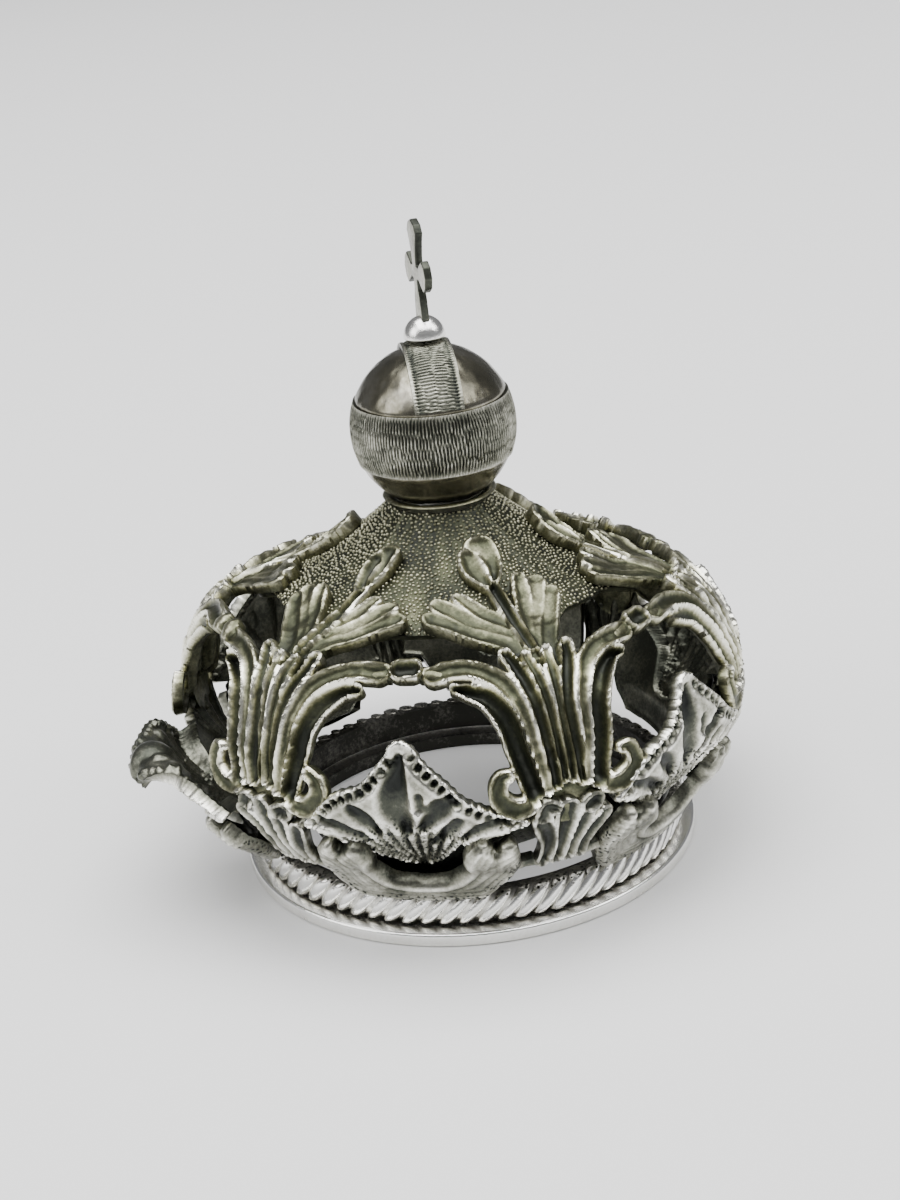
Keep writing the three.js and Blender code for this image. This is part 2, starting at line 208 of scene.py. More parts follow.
# %% The body's outline
GAP = 0.3
ROPE_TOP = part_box("rope_moulding")[1].z / MM
OUTLINE = np.array([
    (23.6, ROPE_TOP + GAP), (26.2, 9.5), (28.7, 13.5), (30.1, 18.0), (29.8, 22.5), (27.5, 26.8),
    (23.4, 30.2), (18.6, 32.3), (14.0, 34.0), (10.0, 36.2), (7.1, 38.3), (5.5, 39.8)])


def spline(points, steps=60):
    """A uniform Catmull-Rom curve through the points."""
    points = np.asarray(points, float)
    padded = np.vstack([points[:1], points, points[-1:]])
    t = np.linspace(0, 1, steps, endpoint=False)[:, None]
    pieces = []
    for a, b, c, d in zip(padded, padded[1:], padded[2:], padded[3:]):
        pieces.append(0.5 * (2 * b + (c - a) * t + (2 * a - 5 * b + 4 * c - d) * t ** 2
                             + (3 * b - a - 3 * c + d) * t ** 3))
    return np.vstack([*pieces, points[-1:]])


CURVE = spline(OUTLINE)
LENGTHS = np.concatenate([[0], np.cumsum(np.hypot(*np.diff(CURVE, axis=0).T))])
BODY_LENGTH = LENGTHS[-1]
SLOPE = np.gradient(CURVE, LENGTHS, axis=0)
SLOPE /= np.linalg.norm(SLOPE, axis=1)[:, None]
SHOULDER_DROP = 2.4
SHOULDER_DROP_AZIMUTH = 236
BENT_SHELL_ANGLE = math.radians(10.8)
CURL_START = 14.5
CURL_RADIUS = 1.9


def on_outline(up, table):
    return np.interp(up, LENGTHS, table)


def smooth(x, low, high):
    t = np.clip((x - low) / (high - low), 0, 1)
    return t * t * (3 - 2 * t)


def bend_out(r, z, up, out):
    """Hinge the front shell outward at its foot and roll its top over."""
    foot_r, foot_z = CURVE[0]
    c, s = math.cos(BENT_SHELL_ANGLE), math.sin(BENT_SHELL_ANGLE)
    start_r, start_z = (on_outline(CURL_START, CURVE[:, k]) for k in (0, 1))
    along_r, along_z = (on_outline(CURL_START, SLOPE[:, k]) for k in (0, 1))
    roll = np.maximum(up - CURL_START, 0) / CURL_RADIUS
    arm = CURL_RADIUS - np.minimum(out, 0.8 * CURL_RADIUS)
    rise = CURL_RADIUS - arm * np.cos(roll)
    run = arm * np.sin(roll)
    rolled = up > CURL_START
    outward = np.where(rolled, start_r + along_z * rise + along_r * run, r) - foot_r
    upward = np.where(rolled, start_z - along_r * rise + along_z * run, z) - foot_z
    return foot_r + outward * c + upward * s, foot_z + upward * c - outward * s * smooth(up, 0, 4)


def place(azimuth, across, up, out, bent=False):
    """Millimetres across, up and out from a middle line, to a point in the frame."""
    radius = on_outline(up, CURVE[:, 0])
    turn = np.radians(azimuth) + across / radius
    r = radius + on_outline(up, SLOPE[:, 1]) * out
    z = on_outline(up, CURVE[:, 1]) - on_outline(up, SLOPE[:, 0]) * out
    around = 0.5 + 0.5 * np.cos(turn - math.radians(SHOULDER_DROP_AZIMUTH))
    z = z - SHOULDER_DROP * around ** 2 * smooth(up, 16, 28) * smooth(BODY_LENGTH - up, 2, 14)
    if bent:
        r, z = bend_out(r, z, up, out)
    return np.stack([RING_MIDDLE.x + r * np.sin(turn), RING_MIDDLE.y - r * np.cos(turn), z], -1)


def put_at(azimuth, bent=False, lower=0.0):
    """place(), fixed to one middle line, for a piece that sits lower by some millimetres."""
    return lambda across, up, out: place(azimuth, across, up, out - lower, bent)


print("outline length", round(BODY_LENGTH, 2), "mm, widest", round(CURVE[:, 0].max(), 2))

# %% [markdown]
# ## From a drawing to a thin sheet
#
# A silversmith draws the ornament, hammers it up and saws away the ground. The same steps work in
# code. A *field* is positive inside the drawing; a grid keeps the cells inside it and slides the
# cells' outer corners onto the line. A *relief* says how high each point is hammered. The grid is
# then placed twice, outside and inside, and the two skins are joined along their edges.
# Wear is worked out from the relief itself: what stands above its surroundings is rubbed bright.
# The inner skin is given one darkish value, tarnish and painted shade together, and the shells
# add painted shade beside their roots and, with patina, in their hollows.

# %% Turn a grid into a closed sheet


def blur(values, cells):
    kernel = np.hanning(2 * cells + 3)[1:-1]
    kernel /= kernel.sum()
    for axis in (0, 1):
        pad = [(cells, cells) if a == axis else (0, 0) for a in (0, 1)]
        padded = np.pad(values, pad, mode="edge")
        values = sum(weight * np.take(padded, range(k, k + values.shape[axis]), axis=axis)
                     for k, weight in enumerate(kernel))
    return values


def new_mesh(name, points, faces, wear, material, punch=None):
    mesh = bpy.data.meshes.new(name)
    mesh.from_pydata((points * MM).tolist(), [], [tuple(f) for f in faces.tolist()])
    for label, values in (("wear", wear), ("punch", punch)):
        if values is not None:
            layer = mesh.attributes.new(label, "FLOAT", "POINT")
            layer.data.foreach_set("value", np.asarray(values, np.float32))
    mesh.materials.append(material)
    mesh.shade_smooth()
    mesh.set_sharp_from_angle(angle=math.radians(50))
    made = bpy.data.objects.new(name, mesh)
    bpy.context.scene.collection.objects.link(made)
    finish_piece(made)
    return made


def finish_piece(piece):
    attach(piece, "root")


def tidy_cells(cells):
    """Fill one cell wherever two kept cells touch only at a corner."""
    for _ in range(3):
        a, b = cells[:-1, :-1], cells[:-1, 1:]
        c, d = cells[1:, :-1], cells[1:, 1:]
        falling = a & d & ~b & ~c
        rising = b & c & ~a & ~d
        cells[:-1, 1:] |= falling
        cells[:-1, :-1] |= rising
    return cells


def quads(index):
    """The four corners of every cell of a grid of point numbers."""
    return np.stack([index[:-1, :-1], index[:-1, 1:], index[1:, 1:], index[1:, :-1]], -1)


def close_skins(skin, count):
    """An outer skin, the same skin turned over, and walls along its free edges."""
    edges = np.concatenate([skin[:, [k, (k + 1) % 4]] for k in range(4)])
    codes = edges[:, 0] * count + edges[:, 1]
    free = edges[~np.isin(edges[:, 1] * count + edges[:, 0], codes)]
    walls = np.stack([free[:, 1], free[:, 0], free[:, 0] + count, free[:, 1] + count], 1)
    return np.concatenate([skin, skin[:, ::-1] + count, walls])


INNER_FOLLOWS = 0.6
LEAST_THICKNESS = 0.55
EDGE_ROUND = 0.35
EDGE_DROP = 0.22
EDGE_SHINE_WIDTH = 0.30
SLIDE, SLIDE_LIMIT = 0.3, 0.48
SHINE, BROAD_SHINE, WIDEST_SHINE = 0.95, 0.45, 0.12
# Darkish value for every inner skin: tarnish of the unrubbed inside, plus painted shade for the shadowed
# interior.
INNER_TARNISH_AND_SHADE = 0.42


def sheet(name, grid, field, relief, put, material, thick=0.75, punch=None, level=0.45, shade_and_patina=None):
    """Cut the field from a grid, raise it by the relief and close it as one thin piece."""
    (x_low, x_high), (u_low, u_high), step = grid
    xs = np.linspace(x_low, x_high, int((x_high - x_low) / step) + 1)
    us = np.linspace(u_low, u_high, int((u_high - u_low) / step) + 1)
    across, up = np.meshgrid(xs, us)
    inside = field(across, up)
    cells = (inside[:-1, :-1] + inside[:-1, 1:] + inside[1:, :-1] + inside[1:, 1:]) > 0
    cells = tidy_cells(cells)
    corner_use = np.zeros(inside.shape, int)
    for di in (0, 1):
        for dj in (0, 1):
            corner_use[di:di + cells.shape[0], dj:dj + cells.shape[1]] += cells
    used = corner_use > 0
    border = used & (corner_use < 4)
    slope_u, slope_x = np.gradient(inside, us, xs)
    steep = np.maximum(slope_u ** 2 + slope_x ** 2, 0.15)
    free_x = border & (across > xs[0]) & (across < xs[-1])
    free_u = border & (up > us[0]) & (up < us[-1])
    start_x, start_u = across, up
    slide, limit = SLIDE * step, SLIDE_LIMIT * step
    for _ in range(3):
        move = -inside / steep
        across = np.where(free_x, across + np.clip(move * slope_x, -slide, slide), across)
        up = np.where(free_u, up + np.clip(move * slope_u, -slide, slide), up)
        across = np.clip(across, start_x - limit, start_x + limit)
        up = np.clip(up, start_u - limit, start_u + limit)
        inside = field(across, up)
    height = relief(across, up)
    depth = np.maximum(inside, 0)
    near = int(max(2, round(0.5 / step)))
    wear = level + SHINE * (height - blur(height, near)) + BROAD_SHINE * (height - blur(height, near * 3))
    wear = wear + WIDEST_SHINE * (height - blur(height, near * 6))
    wear = wear + 0.10 * np.exp(-(depth / EDGE_SHINE_WIDTH) ** 2)
    height = height - EDGE_DROP * (1 - np.clip(depth / EDGE_ROUND, 0, 1)) ** 2
    # An optional extra term is added to the wear value: the shells use it for painted shade on the plate
    # beside their roots, and for patina plus painted shade in their hollows.
    if shade_and_patina is not None:
        wear = wear + shade_and_patina(across, up)
    wear = blur(wear, 1) + 0.10 * uneven(across, up, 7, 3.0)
    outer = put(across, up, height)
    inner = put(across, up, np.minimum(INNER_FOLLOWS * height - thick, height - LEAST_THICKNESS))
    index = -np.ones(used.shape, int)
    index[used] = np.arange(used.sum())
    count = int(used.sum())
    skin = quads(index)[cells]
    points = np.concatenate([outer[used], inner[used]])
    # The inner skin gets this darkish value with a little random change: tarnish plus painted shade.
    inner_tarnish_and_shade = INNER_TARNISH_AND_SHADE + 0.06 * uneven(across, up, 9, 2.0)[used]
    marks = None
    if punch is not None:
        marks = np.concatenate([punch(across, up)[used], np.zeros(count)])
    wears = np.concatenate([np.clip(wear[used], 0, 1), inner_tarnish_and_shade])
    return new_mesh(name, points, close_skins(skin, count), wears, material, marks)


def slab(name, outer, inner, wear, inner_tarnish_and_shade, wrap=False):
    """A closed sheet between two grids of points; wrap joins the last column to the first."""
    count = wear.size
    index = np.arange(count).reshape(wear.shape)
    if wrap:
        index = np.hstack([index, index[:, :1]])
    faces = close_skins(quads(index).reshape(-1, 4), count)
    points = np.concatenate([outer.reshape(-1, 3), inner.reshape(-1, 3)])
    wears = np.concatenate([wear.ravel(), np.full(count, inner_tarnish_and_shade)])
    return new_mesh(name, points, faces, wears, GREY)


print("sheet tools ready")

# %% [markdown]
# ## Strokes and outlines
#
# Acanthus is drawn with tapering strokes. Each stroke is a hollow with a raised rim, so where two
# strokes lie side by side a sharp ridge stands between them, as it does between two passes of
# a chasing punch. Shells and feet have a plain outline instead, so a second helper measures the
# distance to a closed line, and how far along it the nearest point is.

# %% Measure strokes and closed lines


def stroke_field(across, up, knots, steps=6):
    """(depth inside, half width there, share of the length) for knots (x, up, half width)."""
    line = spline(knots, steps)
    depth = np.full(across.shape, -1e9)
    width = np.ones(across.shape)
    along = np.zeros(across.shape)
    for k, ((ax, ay, aw), (bx, by, bw)) in enumerate(zip(line[:-1], line[1:])):
        dx, dy = bx - ax, by - ay
        t = np.clip(((across - ax) * dx + (up - ay) * dy) / max(dx * dx + dy * dy, 1e-9), 0, 1)
        here = aw + (bw - aw) * t
        inside = here - np.hypot(across - ax - t * dx, up - ay - t * dy)
        better = inside > depth
        depth = np.where(better, inside, depth)
        width = np.where(better, here, width)
        along = np.where(better, (k + t) / (len(line) - 1), along)
    return depth, np.maximum(width, 0.05), along


def line_field(across, up, corners):
    """(depth inside, distance along) for a closed line."""
    corners = np.asarray(corners, float)
    nearest = np.full(across.shape, 1e9)
    along = np.zeros(across.shape)
    inside = np.zeros(across.shape, bool)
    travelled = 0.0
    for (ax, ay), (bx, by) in zip(corners, np.roll(corners, -1, axis=0)):
        dx, dy = bx - ax, by - ay
        length = math.hypot(dx, dy)
        t = np.clip(((across - ax) * dx + (up - ay) * dy) / max(length ** 2, 1e-9), 0, 1)
        distance = np.hypot(across - ax - t * dx, up - ay - t * dy)
        better = distance < nearest
        nearest = np.where(better, distance, nearest)
        along = np.where(better, travelled + t * length, along)
        crosses = ((ay > up) != (by > up)) & (
            across < ax + (up - ay) * dx / (dy if abs(dy) > 1e-9 else 1e-9))
        inside ^= crosses
        travelled += length
    return np.where(inside, nearest, -nearest), along


def uneven(x, y, seed, size):
    """Smooth random values from -1 to 1, with hills about one size across."""
    table = np.random.default_rng(seed).uniform(-1, 1, (64, 64))
    px, py = np.mod(x / size, 64), np.mod(y / size, 64)
    ix, iy = np.floor(px).astype(int), np.floor(py).astype(int)
    fx, fy = px - ix, py - iy
    fx, fy = fx * fx * (3 - 2 * fx), fy * fy * (3 - 2 * fy)
    a, b = table[ix % 64, iy % 64], table[(ix + 1) % 64, iy % 64]
    c, d = table[ix % 64, (iy + 1) % 64], table[(ix + 1) % 64, (iy + 1) % 64]
    return (a * (1 - fx) + b * fx) * (1 - fy) + (c * (1 - fx) + d * fx) * fy


STEP_WIDTH = 0.32
RIM_CURVE = 2.4
PARTING = 14
FAR_SHARE = 45


def nudged(knots, rng, amount):
    return [(x + rng.normal(0, amount), u + rng.normal(0, amount), w) for x, u, w in knots]


class Gutters:
    """Layers of gutters, back to front. A gutter is (knots, rim height, floor height, tip lift)."""

    def __init__(self, layers, margin, seed):
        self.layers = layers
        self.margin = margin
        self.seed = seed

    def layer_field(self, across, up, layer):
        return np.max([stroke_field(across, up, g[0])[0] for g in layer], axis=0) + self.margin

    def field(self, across, up):
        torn = 0.07 * uneven(across, up, self.seed + 7, 0.9)
        return np.max([self.layer_field(across, up, layer) for layer in self.layers], axis=0) + torn

    def layer_relief(self, across, up, layer):
        height = np.zeros(across.shape)
        weights = np.zeros(across.shape)
        outline = np.full(across.shape, -1e9)
        for knots, rim, floor, lift in layer:
            depth, width, along = stroke_field(across, up, knots)
            share = 1 - depth / width
            bowl = floor + (rim - floor) * np.clip(share, 0, 1) ** RIM_CURVE
            bowl = bowl + lift * smooth(along, 0.55, 1.0)
            weight = np.exp(-PARTING * np.clip(share, 0, FAR_SHARE))
            height = height + weight * bowl
            weights = weights + weight
            outline = np.maximum(outline, depth)
        return outline + self.margin, height / weights

    def relief(self, across, up):
        made = [self.layer_relief(across, up, layer) for layer in self.layers]
        reach = np.full(across.shape, -1e9)
        total = np.zeros(across.shape)
        for outline, height in made:
            below = smooth(reach, 0, STEP_WIDTH)
            over = below * smooth(outline, 0, STEP_WIDTH) + (1 - below) * (outline > reach)
            total = total + (height - total) * over
            reach = np.maximum(reach, outline)
        dents = 0.10 * uneven(across, up, self.seed, 1.7) + 0.05 * uneven(across, up, self.seed + 1, 0.6)
        return total + dents


print("helpers ready")

# %% [markdown]
# ## A small kit for repeats
#
# Grains and rope lobes repeat hundreds of times, so they are grown by Geometry Nodes: one shape,
# a rule for where it goes, and named sizes. The result is made real and kept as a plain mesh.

# %% A small Geometry Nodes kit


class Nodes(Tree):
    """One geometry tree, whose result is converted to a mesh."""

    def __init__(self, name, inputs):
        super().__init__(bpy.data.node_groups.new(name, "GeometryNodeTree"))
        self.tree.interface.new_socket("Geometry", in_out="OUTPUT", socket_type="NodeSocketGeometry")
        self.values = {}
        for label, value in inputs.items():
            kind = "NodeSocketInt" if isinstance(value, int) else "NodeSocketFloat"
            socket = self.tree.interface.new_socket(label, in_out="INPUT", socket_type=kind)
            self.values[socket.identifier] = value
        self.entry = self.tree.nodes.new("NodeGroupInput")

    def build(self, name, geometry, material):
        real = self.add("GeometryNodeRealizeInstances", {"Geometry": geometry})
        painted = self.add("GeometryNodeSetMaterial", {"Geometry": real.outputs[0], "Material": material})
        leaving = self.tree.nodes.new("NodeGroupOutput")
        self.tree.links.new(painted.outputs[0], leaving.inputs[0])
        holder = bpy.data.objects.new(name, bpy.data.meshes.new(name))
        bpy.context.scene.collection.objects.link(holder)
        modifier = holder.modifiers.new("tree", "NODES")
        modifier.node_group = self.tree
        for identifier, value in self.values.items():
            modifier[identifier] = value
        view = bpy.context.evaluated_depsgraph_get()
        mesh = bpy.data.meshes.new_from_object(holder.evaluated_get(view), depsgraph=view)
        holder.modifiers.clear()
        holder.data = mesh
        return holder


def give_wear(piece, value, label="wear"):
    """Store one value, or one for each point, on a finished mesh."""
    mesh = piece.data
    layer = mesh.attributes.get(label) or mesh.attributes.new(label, "FLOAT", "POINT")
    values = np.empty(len(mesh.vertices), np.float32)
    values[:] = value
    layer.data.foreach_set("value", values)


def coordinates(piece):
    values = np.empty(len(piece.data.vertices) * 3, np.float32)
    piece.data.vertices.foreach_get("co", values)
    return values.reshape(-1, 3) / MM


def move_points(piece, points):
    piece.data.vertices.foreach_set("co", (points * MM).astype(np.float32).ravel())
    piece.data.update()


print("node kit ready")

# %% [markdown]
# ## Six acanthus leaves
#
# Each leaf springs from a narrow root between two shells. Four hollows fan upward, the outer ones
# swing out into wings that meet the neighbouring leaves, two broad lobes lie on the dome's edge,
# and one long lobe like a spoon runs up towards the orb. No two leaves are quite alike, so every
# knot is nudged a little and the upper lobes are given their own reach.

# %% Draw one leaf


def leaf_layers(seed, left, right, lean, spoon):
    """left, right: (reach sideways, rise) of the upper lobes; lean, spoon: of the tall lobe."""
    rng = np.random.default_rng(seed)
    lobes, fingers, hooks = [], [], []
    for side, (reach, rise) in ((-1, left), (1, right)):
        def sided(knots):
            return nudged([(side * x, u, w) for x, u, w in knots], rng, 0.12)

        lobes += [
            (sided([(1.2, 27.5, 0.8), (1.9, 30.4, 1.0), (1.9 + 2.4 * reach, 32.6 + 0.5 * rise, 1.05),
                    (1.9 + 4.4 * reach, 33.6 + 1.6 * rise, 0.9)]), 0.60, 0.2, 0.6),
            (sided([(0.7, 28.5, 0.8), (1.3, 31.2, 0.95), (1.5 + 1.9 * reach, 33.0 + 1.2 * rise, 1.05),
                    (1.7 + 3.5 * reach, 34.0 + 2.6 * rise, 0.9)]), 0.70, 0.35, 0.7),
            (sided([(0.6, 31.2, 0.5), (0.9, 32.6, 0.7), (1.1 + 1.5 * reach, 34.3 + 1.3 * rise, 0.85),
                    (1.2 + 2.3 * reach, 34.8 + 2.9 * rise, 0.6)]), 0.78, 0.4, 0.8),
        ]
        fingers += [
            (sided([(3.3, 15.6, 0.9), (4.2, 19.0, 1.0), (4.75, 22.6, 1.05), (5.9, 25.0, 0.95),
                    (7.4, 26.0, 0.6), (8.6, 26.2, 0.25)]), 0.7, -0.55, 0.1),
            (sided([(2.2, 15.8, 0.6), (2.65, 19.5, 0.65), (3.2, 23.4, 0.75), (4.5, 26.4, 0.85),
                    (7.0, 27.9, 0.8), (10.2, 28.0, 0.75)]), 1.2, 0.6, 0.1),
            (sided([(1.2, 15.8, 0.5), (1.45, 20.0, 0.6), (1.8, 24.0, 0.65), (2.6, 27.4, 0.6),
                    (3.0, 28.6, 0.5)]), 1.05, 0.15, 0.5),
            (sided([(0.42, 16.0, 0.35), (0.5, 20.0, 0.42), (0.65, 24.5, 0.48),
                    (1.0, 28.4, 0.48)]), 1.05, 0.35, 0.5),
        ]
        hooks += [
            (sided([(3.0, 15.6, 0.6), (4.3, 14.7, 0.7), (5.9, 14.7, 0.75), (7.0, 15.9, 0.7),
                    (6.8, 17.4, 0.55), (5.9, 17.9, 0.35)]), 1.3, 0.85, 0.0),
        ]
    root = [([(0, 13.9, 2.6), (0, 16.2, 3.0)], 0.3, 0.1, 0.0)]
    stem = [
        (nudged([(0.3 * lean, 29.4, 0.5), (0.6 * lean, 32.0, 0.55), (lean, 35.0, 0.55),
                 (lean, 38.6, 0.45)], rng, 0.05), 1.0, 0.1, 0.0),
    ]
    tip = [
        (nudged([(lean - 0.5 * spoon, 39.0, 0.35), (lean - 0.9 * spoon, 41.0, 1.05 * spoon),
                 (lean - 0.8 * spoon, 42.8, 1.05 * spoon)], rng, 0.05), 1.05, 0.35, 0.1),
        (nudged([(lean + 0.4 * spoon, 39.4, 0.3), (lean + 0.9 * spoon, 41.4, 0.75 * spoon),
                 (lean + 0.5 * spoon, 43.6, 1.45 * spoon)], rng, 0.05), 1.05, 0.5, 0.2),
    ]
    return [root, lobes, stem, tip, hooks, fingers]


REPEATS = 6
SECTOR = 360 / REPEATS
# seed, (reach, rise) of the left and right upper lobes, lean of the tall lobe, its width
LEAVES = [
    (11, (0.75, 0.8), (1.25, 0.7), 1.2, 0.62), (12, (1.3, 0.75), (0.62, 1.25), -0.3, 1.0),
    (13, (1.0, 0.9), (0.9, 0.9), 0.3, 0.92), (14, (1.0, 0.8), (1.1, 0.8), -0.4, 0.95),
    (15, (1.1, 0.9), (0.8, 1.1), 0.5, 0.85), (16, (0.9, 0.9), (1.0, 0.8), -0.3, 0.95)]


def leaf_bend(across, up):
    """The leaf as a whole: narrow-waisted, swelling over the arch, drawn in at the wing tips."""
    swell = 0.3 * smooth(up, 22, 26) * (1 - smooth(up, 30, 36)) + 0.25 * smooth(up, 38, 41)
    waist = 0.55 * np.exp(-((up - 18.5) / 4.5) ** 2)
    return swell - waist - 0.5 * smooth(np.abs(across), 8.5, 10.8)


for number, (seed, *shape) in enumerate(LEAVES):
    drawing = Gutters(leaf_layers(seed, *shape), 0.28, seed)
    leaf = sheet(f"leaf_{number + 1}", ((-11.4, 11.4), (10.8, 46.8), 0.18), drawing.field,
                 lambda x, u: drawing.relief(x, u) + leaf_bend(x, u),
                 put_at(SECTOR * (number + 0.5)), CHASED)
    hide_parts("crown_body")
print("leaves", REPEATS, "faces each", len(leaf.data.polygons))

# %% [markdown]
# ## Links
#
# Where two leaves' wings meet, a small link holds them together over the arch: an oval eye on
# three links, two knuckles on the other three.

# %% Link the wings


def link_drawing(seed, eye):
    arm = [(-3.6, 28.1, 0.45), (0, 28.4, 0.5), (3.6, 28.1, 0.45)]
    knuckles = [([(-1.4, 28.1, 0.7), (-1.2, 28.4, 0.7)], 1.3, 1.5, 0.0),
                ([(0.9, 28.6, 0.8), (1.3, 28.3, 0.8)], 1.2, 1.5, 0.0)]
    oval = [([(-0.6, 28.4, 0.85), (0.6, 28.45, 0.85)], 1.5, 0.55, 0.0)]
    return Gutters([[(arm, 0.8, 0.9, 0.0)], oval if eye else knuckles], 0.3, seed)


for number in range(REPEATS):
    drawing = link_drawing(31 + number, number in (1, 2, 5))
    link = sheet(f"link_{number + 1}", ((-3.8, 3.8), (26.4, 30.4), 0.13), drawing.field,
                 drawing.relief, put_at(SECTOR * number), CHASED)
    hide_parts("crown_body")
print("links", REPEATS)

# %% [markdown]
# ## The dome and its matted ground
#
# Behind the leaves the dome is plain sheet, punched all over with a matting tool. The sheet is
# made here; the punched grains are added further on with Geometry Nodes.

# %% The dome
DOME_EDGE = 34.3


def dome_field(across, up):
    turn = np.mod(across, SECTOR) - SECTOR / 2
    arch = 2.6 * (1 - smooth(np.abs(turn), 6, 22))
    return up - (DOME_EDGE - arch)


def dome_relief(across, up):
    sink = -0.25 + 0.12 * uneven(across, up, 41, 5.0)
    return sink - 0.3 * (1 - smooth(up, DOME_EDGE, DOME_EDGE + 2))


def put_dome(across, up, out):
    return place(0, np.radians(across) * on_outline(up, CURVE[:, 0]), up, out)


dome = sheet("dome", ((0, 360), (30.6, BODY_LENGTH - 0.05), 0.85), dome_field, dome_relief, put_dome,
             CHASED, thick=0.7, level=0.22)
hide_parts("crown_body")
print("dome faces", len(dome.data.polygons))

# %% [markdown]
# ## Foot leaves
#
# A small palmette stands below each leaf: narrow stems on a straight footing, opening into a
# hooked lobe, a hollow middle and a round knob.

# %% Foot leaves


def foot_layers(seed):
    rng = np.random.default_rng(seed)

    def nudge(knots):
        return nudged(knots, rng, 0.08)

    rail = [([(-6.3, 5.2, 0.35), (0, 5.1, 0.35), (6.3, 5.2, 0.35)], 0.5, 0.75, 0.0)]
    fan = [
        (nudge([(-0.5, 5.4, 0.55), (-0.5, 8.5, 0.6), (-0.4, 11.2, 0.85), (-0.3, 13.2, 0.95)]),
         0.95, 0.1, 0.1),
        (nudge([(-1.9, 5.4, 0.5), (-1.8, 8.5, 0.6), (-2.3, 10.6, 0.8), (-3.0, 12.4, 0.75)]), 1.0, 0.2, 0.3),
        (nudge([(0.8, 5.4, 0.5), (0.8, 8.5, 0.55), (1.2, 10.8, 0.75), (1.7, 12.2, 0.6)]), 1.0, 0.2, 0.1),
        (nudge([(2.0, 5.4, 0.5), (2.1, 8.0, 0.55), (2.8, 10.0, 0.7), (3.6, 11.6, 0.55)]), 0.9, 0.2, 0.2),
    ]
    heads = [
        (nudge([(-2.9, 13.0, 0.6), (-2.2, 13.9, 0.55), (-1.5, 13.6, 0.4)]), 1.1, 0.6, 0.0),
        (nudge([(2.0, 13.1, 0.75), (2.5, 13.3, 0.75)]), 1.1, 0.4, 0.0),
    ]
    return [rail, fan, heads]


for number in range(REPEATS):
    drawing = Gutters(foot_layers(51 + number), 0.3, 51 + number)
    foot = sheet(f"foot_leaf_{number + 1}", ((-6.9, 6.9), (4.2, 15.4), 0.18), drawing.field,
                 drawing.relief, put_at(SECTOR * (number + 0.5), lower=0.10), GREY)
    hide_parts("crown_body")
print("foot leaves", REPEATS, "faces each", len(foot.data.polygons))

# %% [markdown]
# ## Shells
#
# The shells are the proudest work. Each fans from a narrow root: ribs run up and out, deep
# almond-shaped hollows open between them, and a raised rim with a row of small punched cells
# borders the top. Seen flat, a shell is polar: every point has an angle about the root and a
# distance from it, so ribs and hollows are written as functions of that angle.

# %% Shells
SHELL_ROOT = 0.8
SHELL_LINE = [
    (0, 21.8), (1.0, 21.2), (2.1, 19.7), (4.0, 17.9), (5.5, 16.3), (7.1, 15.2), (8.7, 14.3), (10.6, 13.4),
    (11.4, 12.6), (9.1, 11.7), (6.2, 10.6), (4.2, 9.2), (3.3, 7.6), (1.8, 5.1), (0, 4.5), (-1.7, 4.8),
    (-3.1, 5.8), (-5.2, 8.3), (-6.3, 9.8), (-8.1, 11.3), (-10.8, 12.4), (-9.9, 13.8), (-8.2, 15.6),
    (-6.6, 16.8), (-4.4, 17.6), (-2.8, 19.1), (-1.7, 20.3), (-1.1, 21.4)]
HOLLOWS = [
    ([(-0.2, 20.2, 0.25), (-0.9, 17.9, 1.15), (-0.9, 15.6, 1.5), (-0.6, 13.6, 1.1), (-0.3, 12.2, 0.3)], 1.0),
    ([(-5.2, 15.4, 0.45), (-4.2, 14.0, 0.85), (-3.2, 12.5, 0.4)], 0.8),
    ([(-8.6, 13.6, 0.35), (-6.6, 12.7, 0.75), (-4.5, 11.0, 0.35)], 0.7),
    ([(1.3, 16.6, 0.35), (1.3, 15.6, 0.5)], 0.6),
    ([(4.2, 15.9, 0.6), (2.9, 14.9, 1.1), (1.3, 12.7, 0.35)], 0.9),
    ([(4.7, 13.7, 0.5), (3.5, 12.2, 0.75), (2.1, 10.4, 0.3)], 0.75),
    ([(9.0, 13.3, 0.3), (7.0, 12.8, 0.65), (4.8, 10.9, 0.3)], 0.7)]
RIB_SPREAD = 0.115
RUNG_PITCH = 0.52
CELL_PITCH = 0.98
SHELL_WAIST = 12.5
PLATE_OUT = -1.9


def outside_line(depth, up):
    """1 on the set-back plate beside the shell's root, 0 on the shell."""
    return smooth(-depth, 0.0, 0.35) * (1 - smooth(up, SHELL_WAIST - 0.3, SHELL_WAIST))


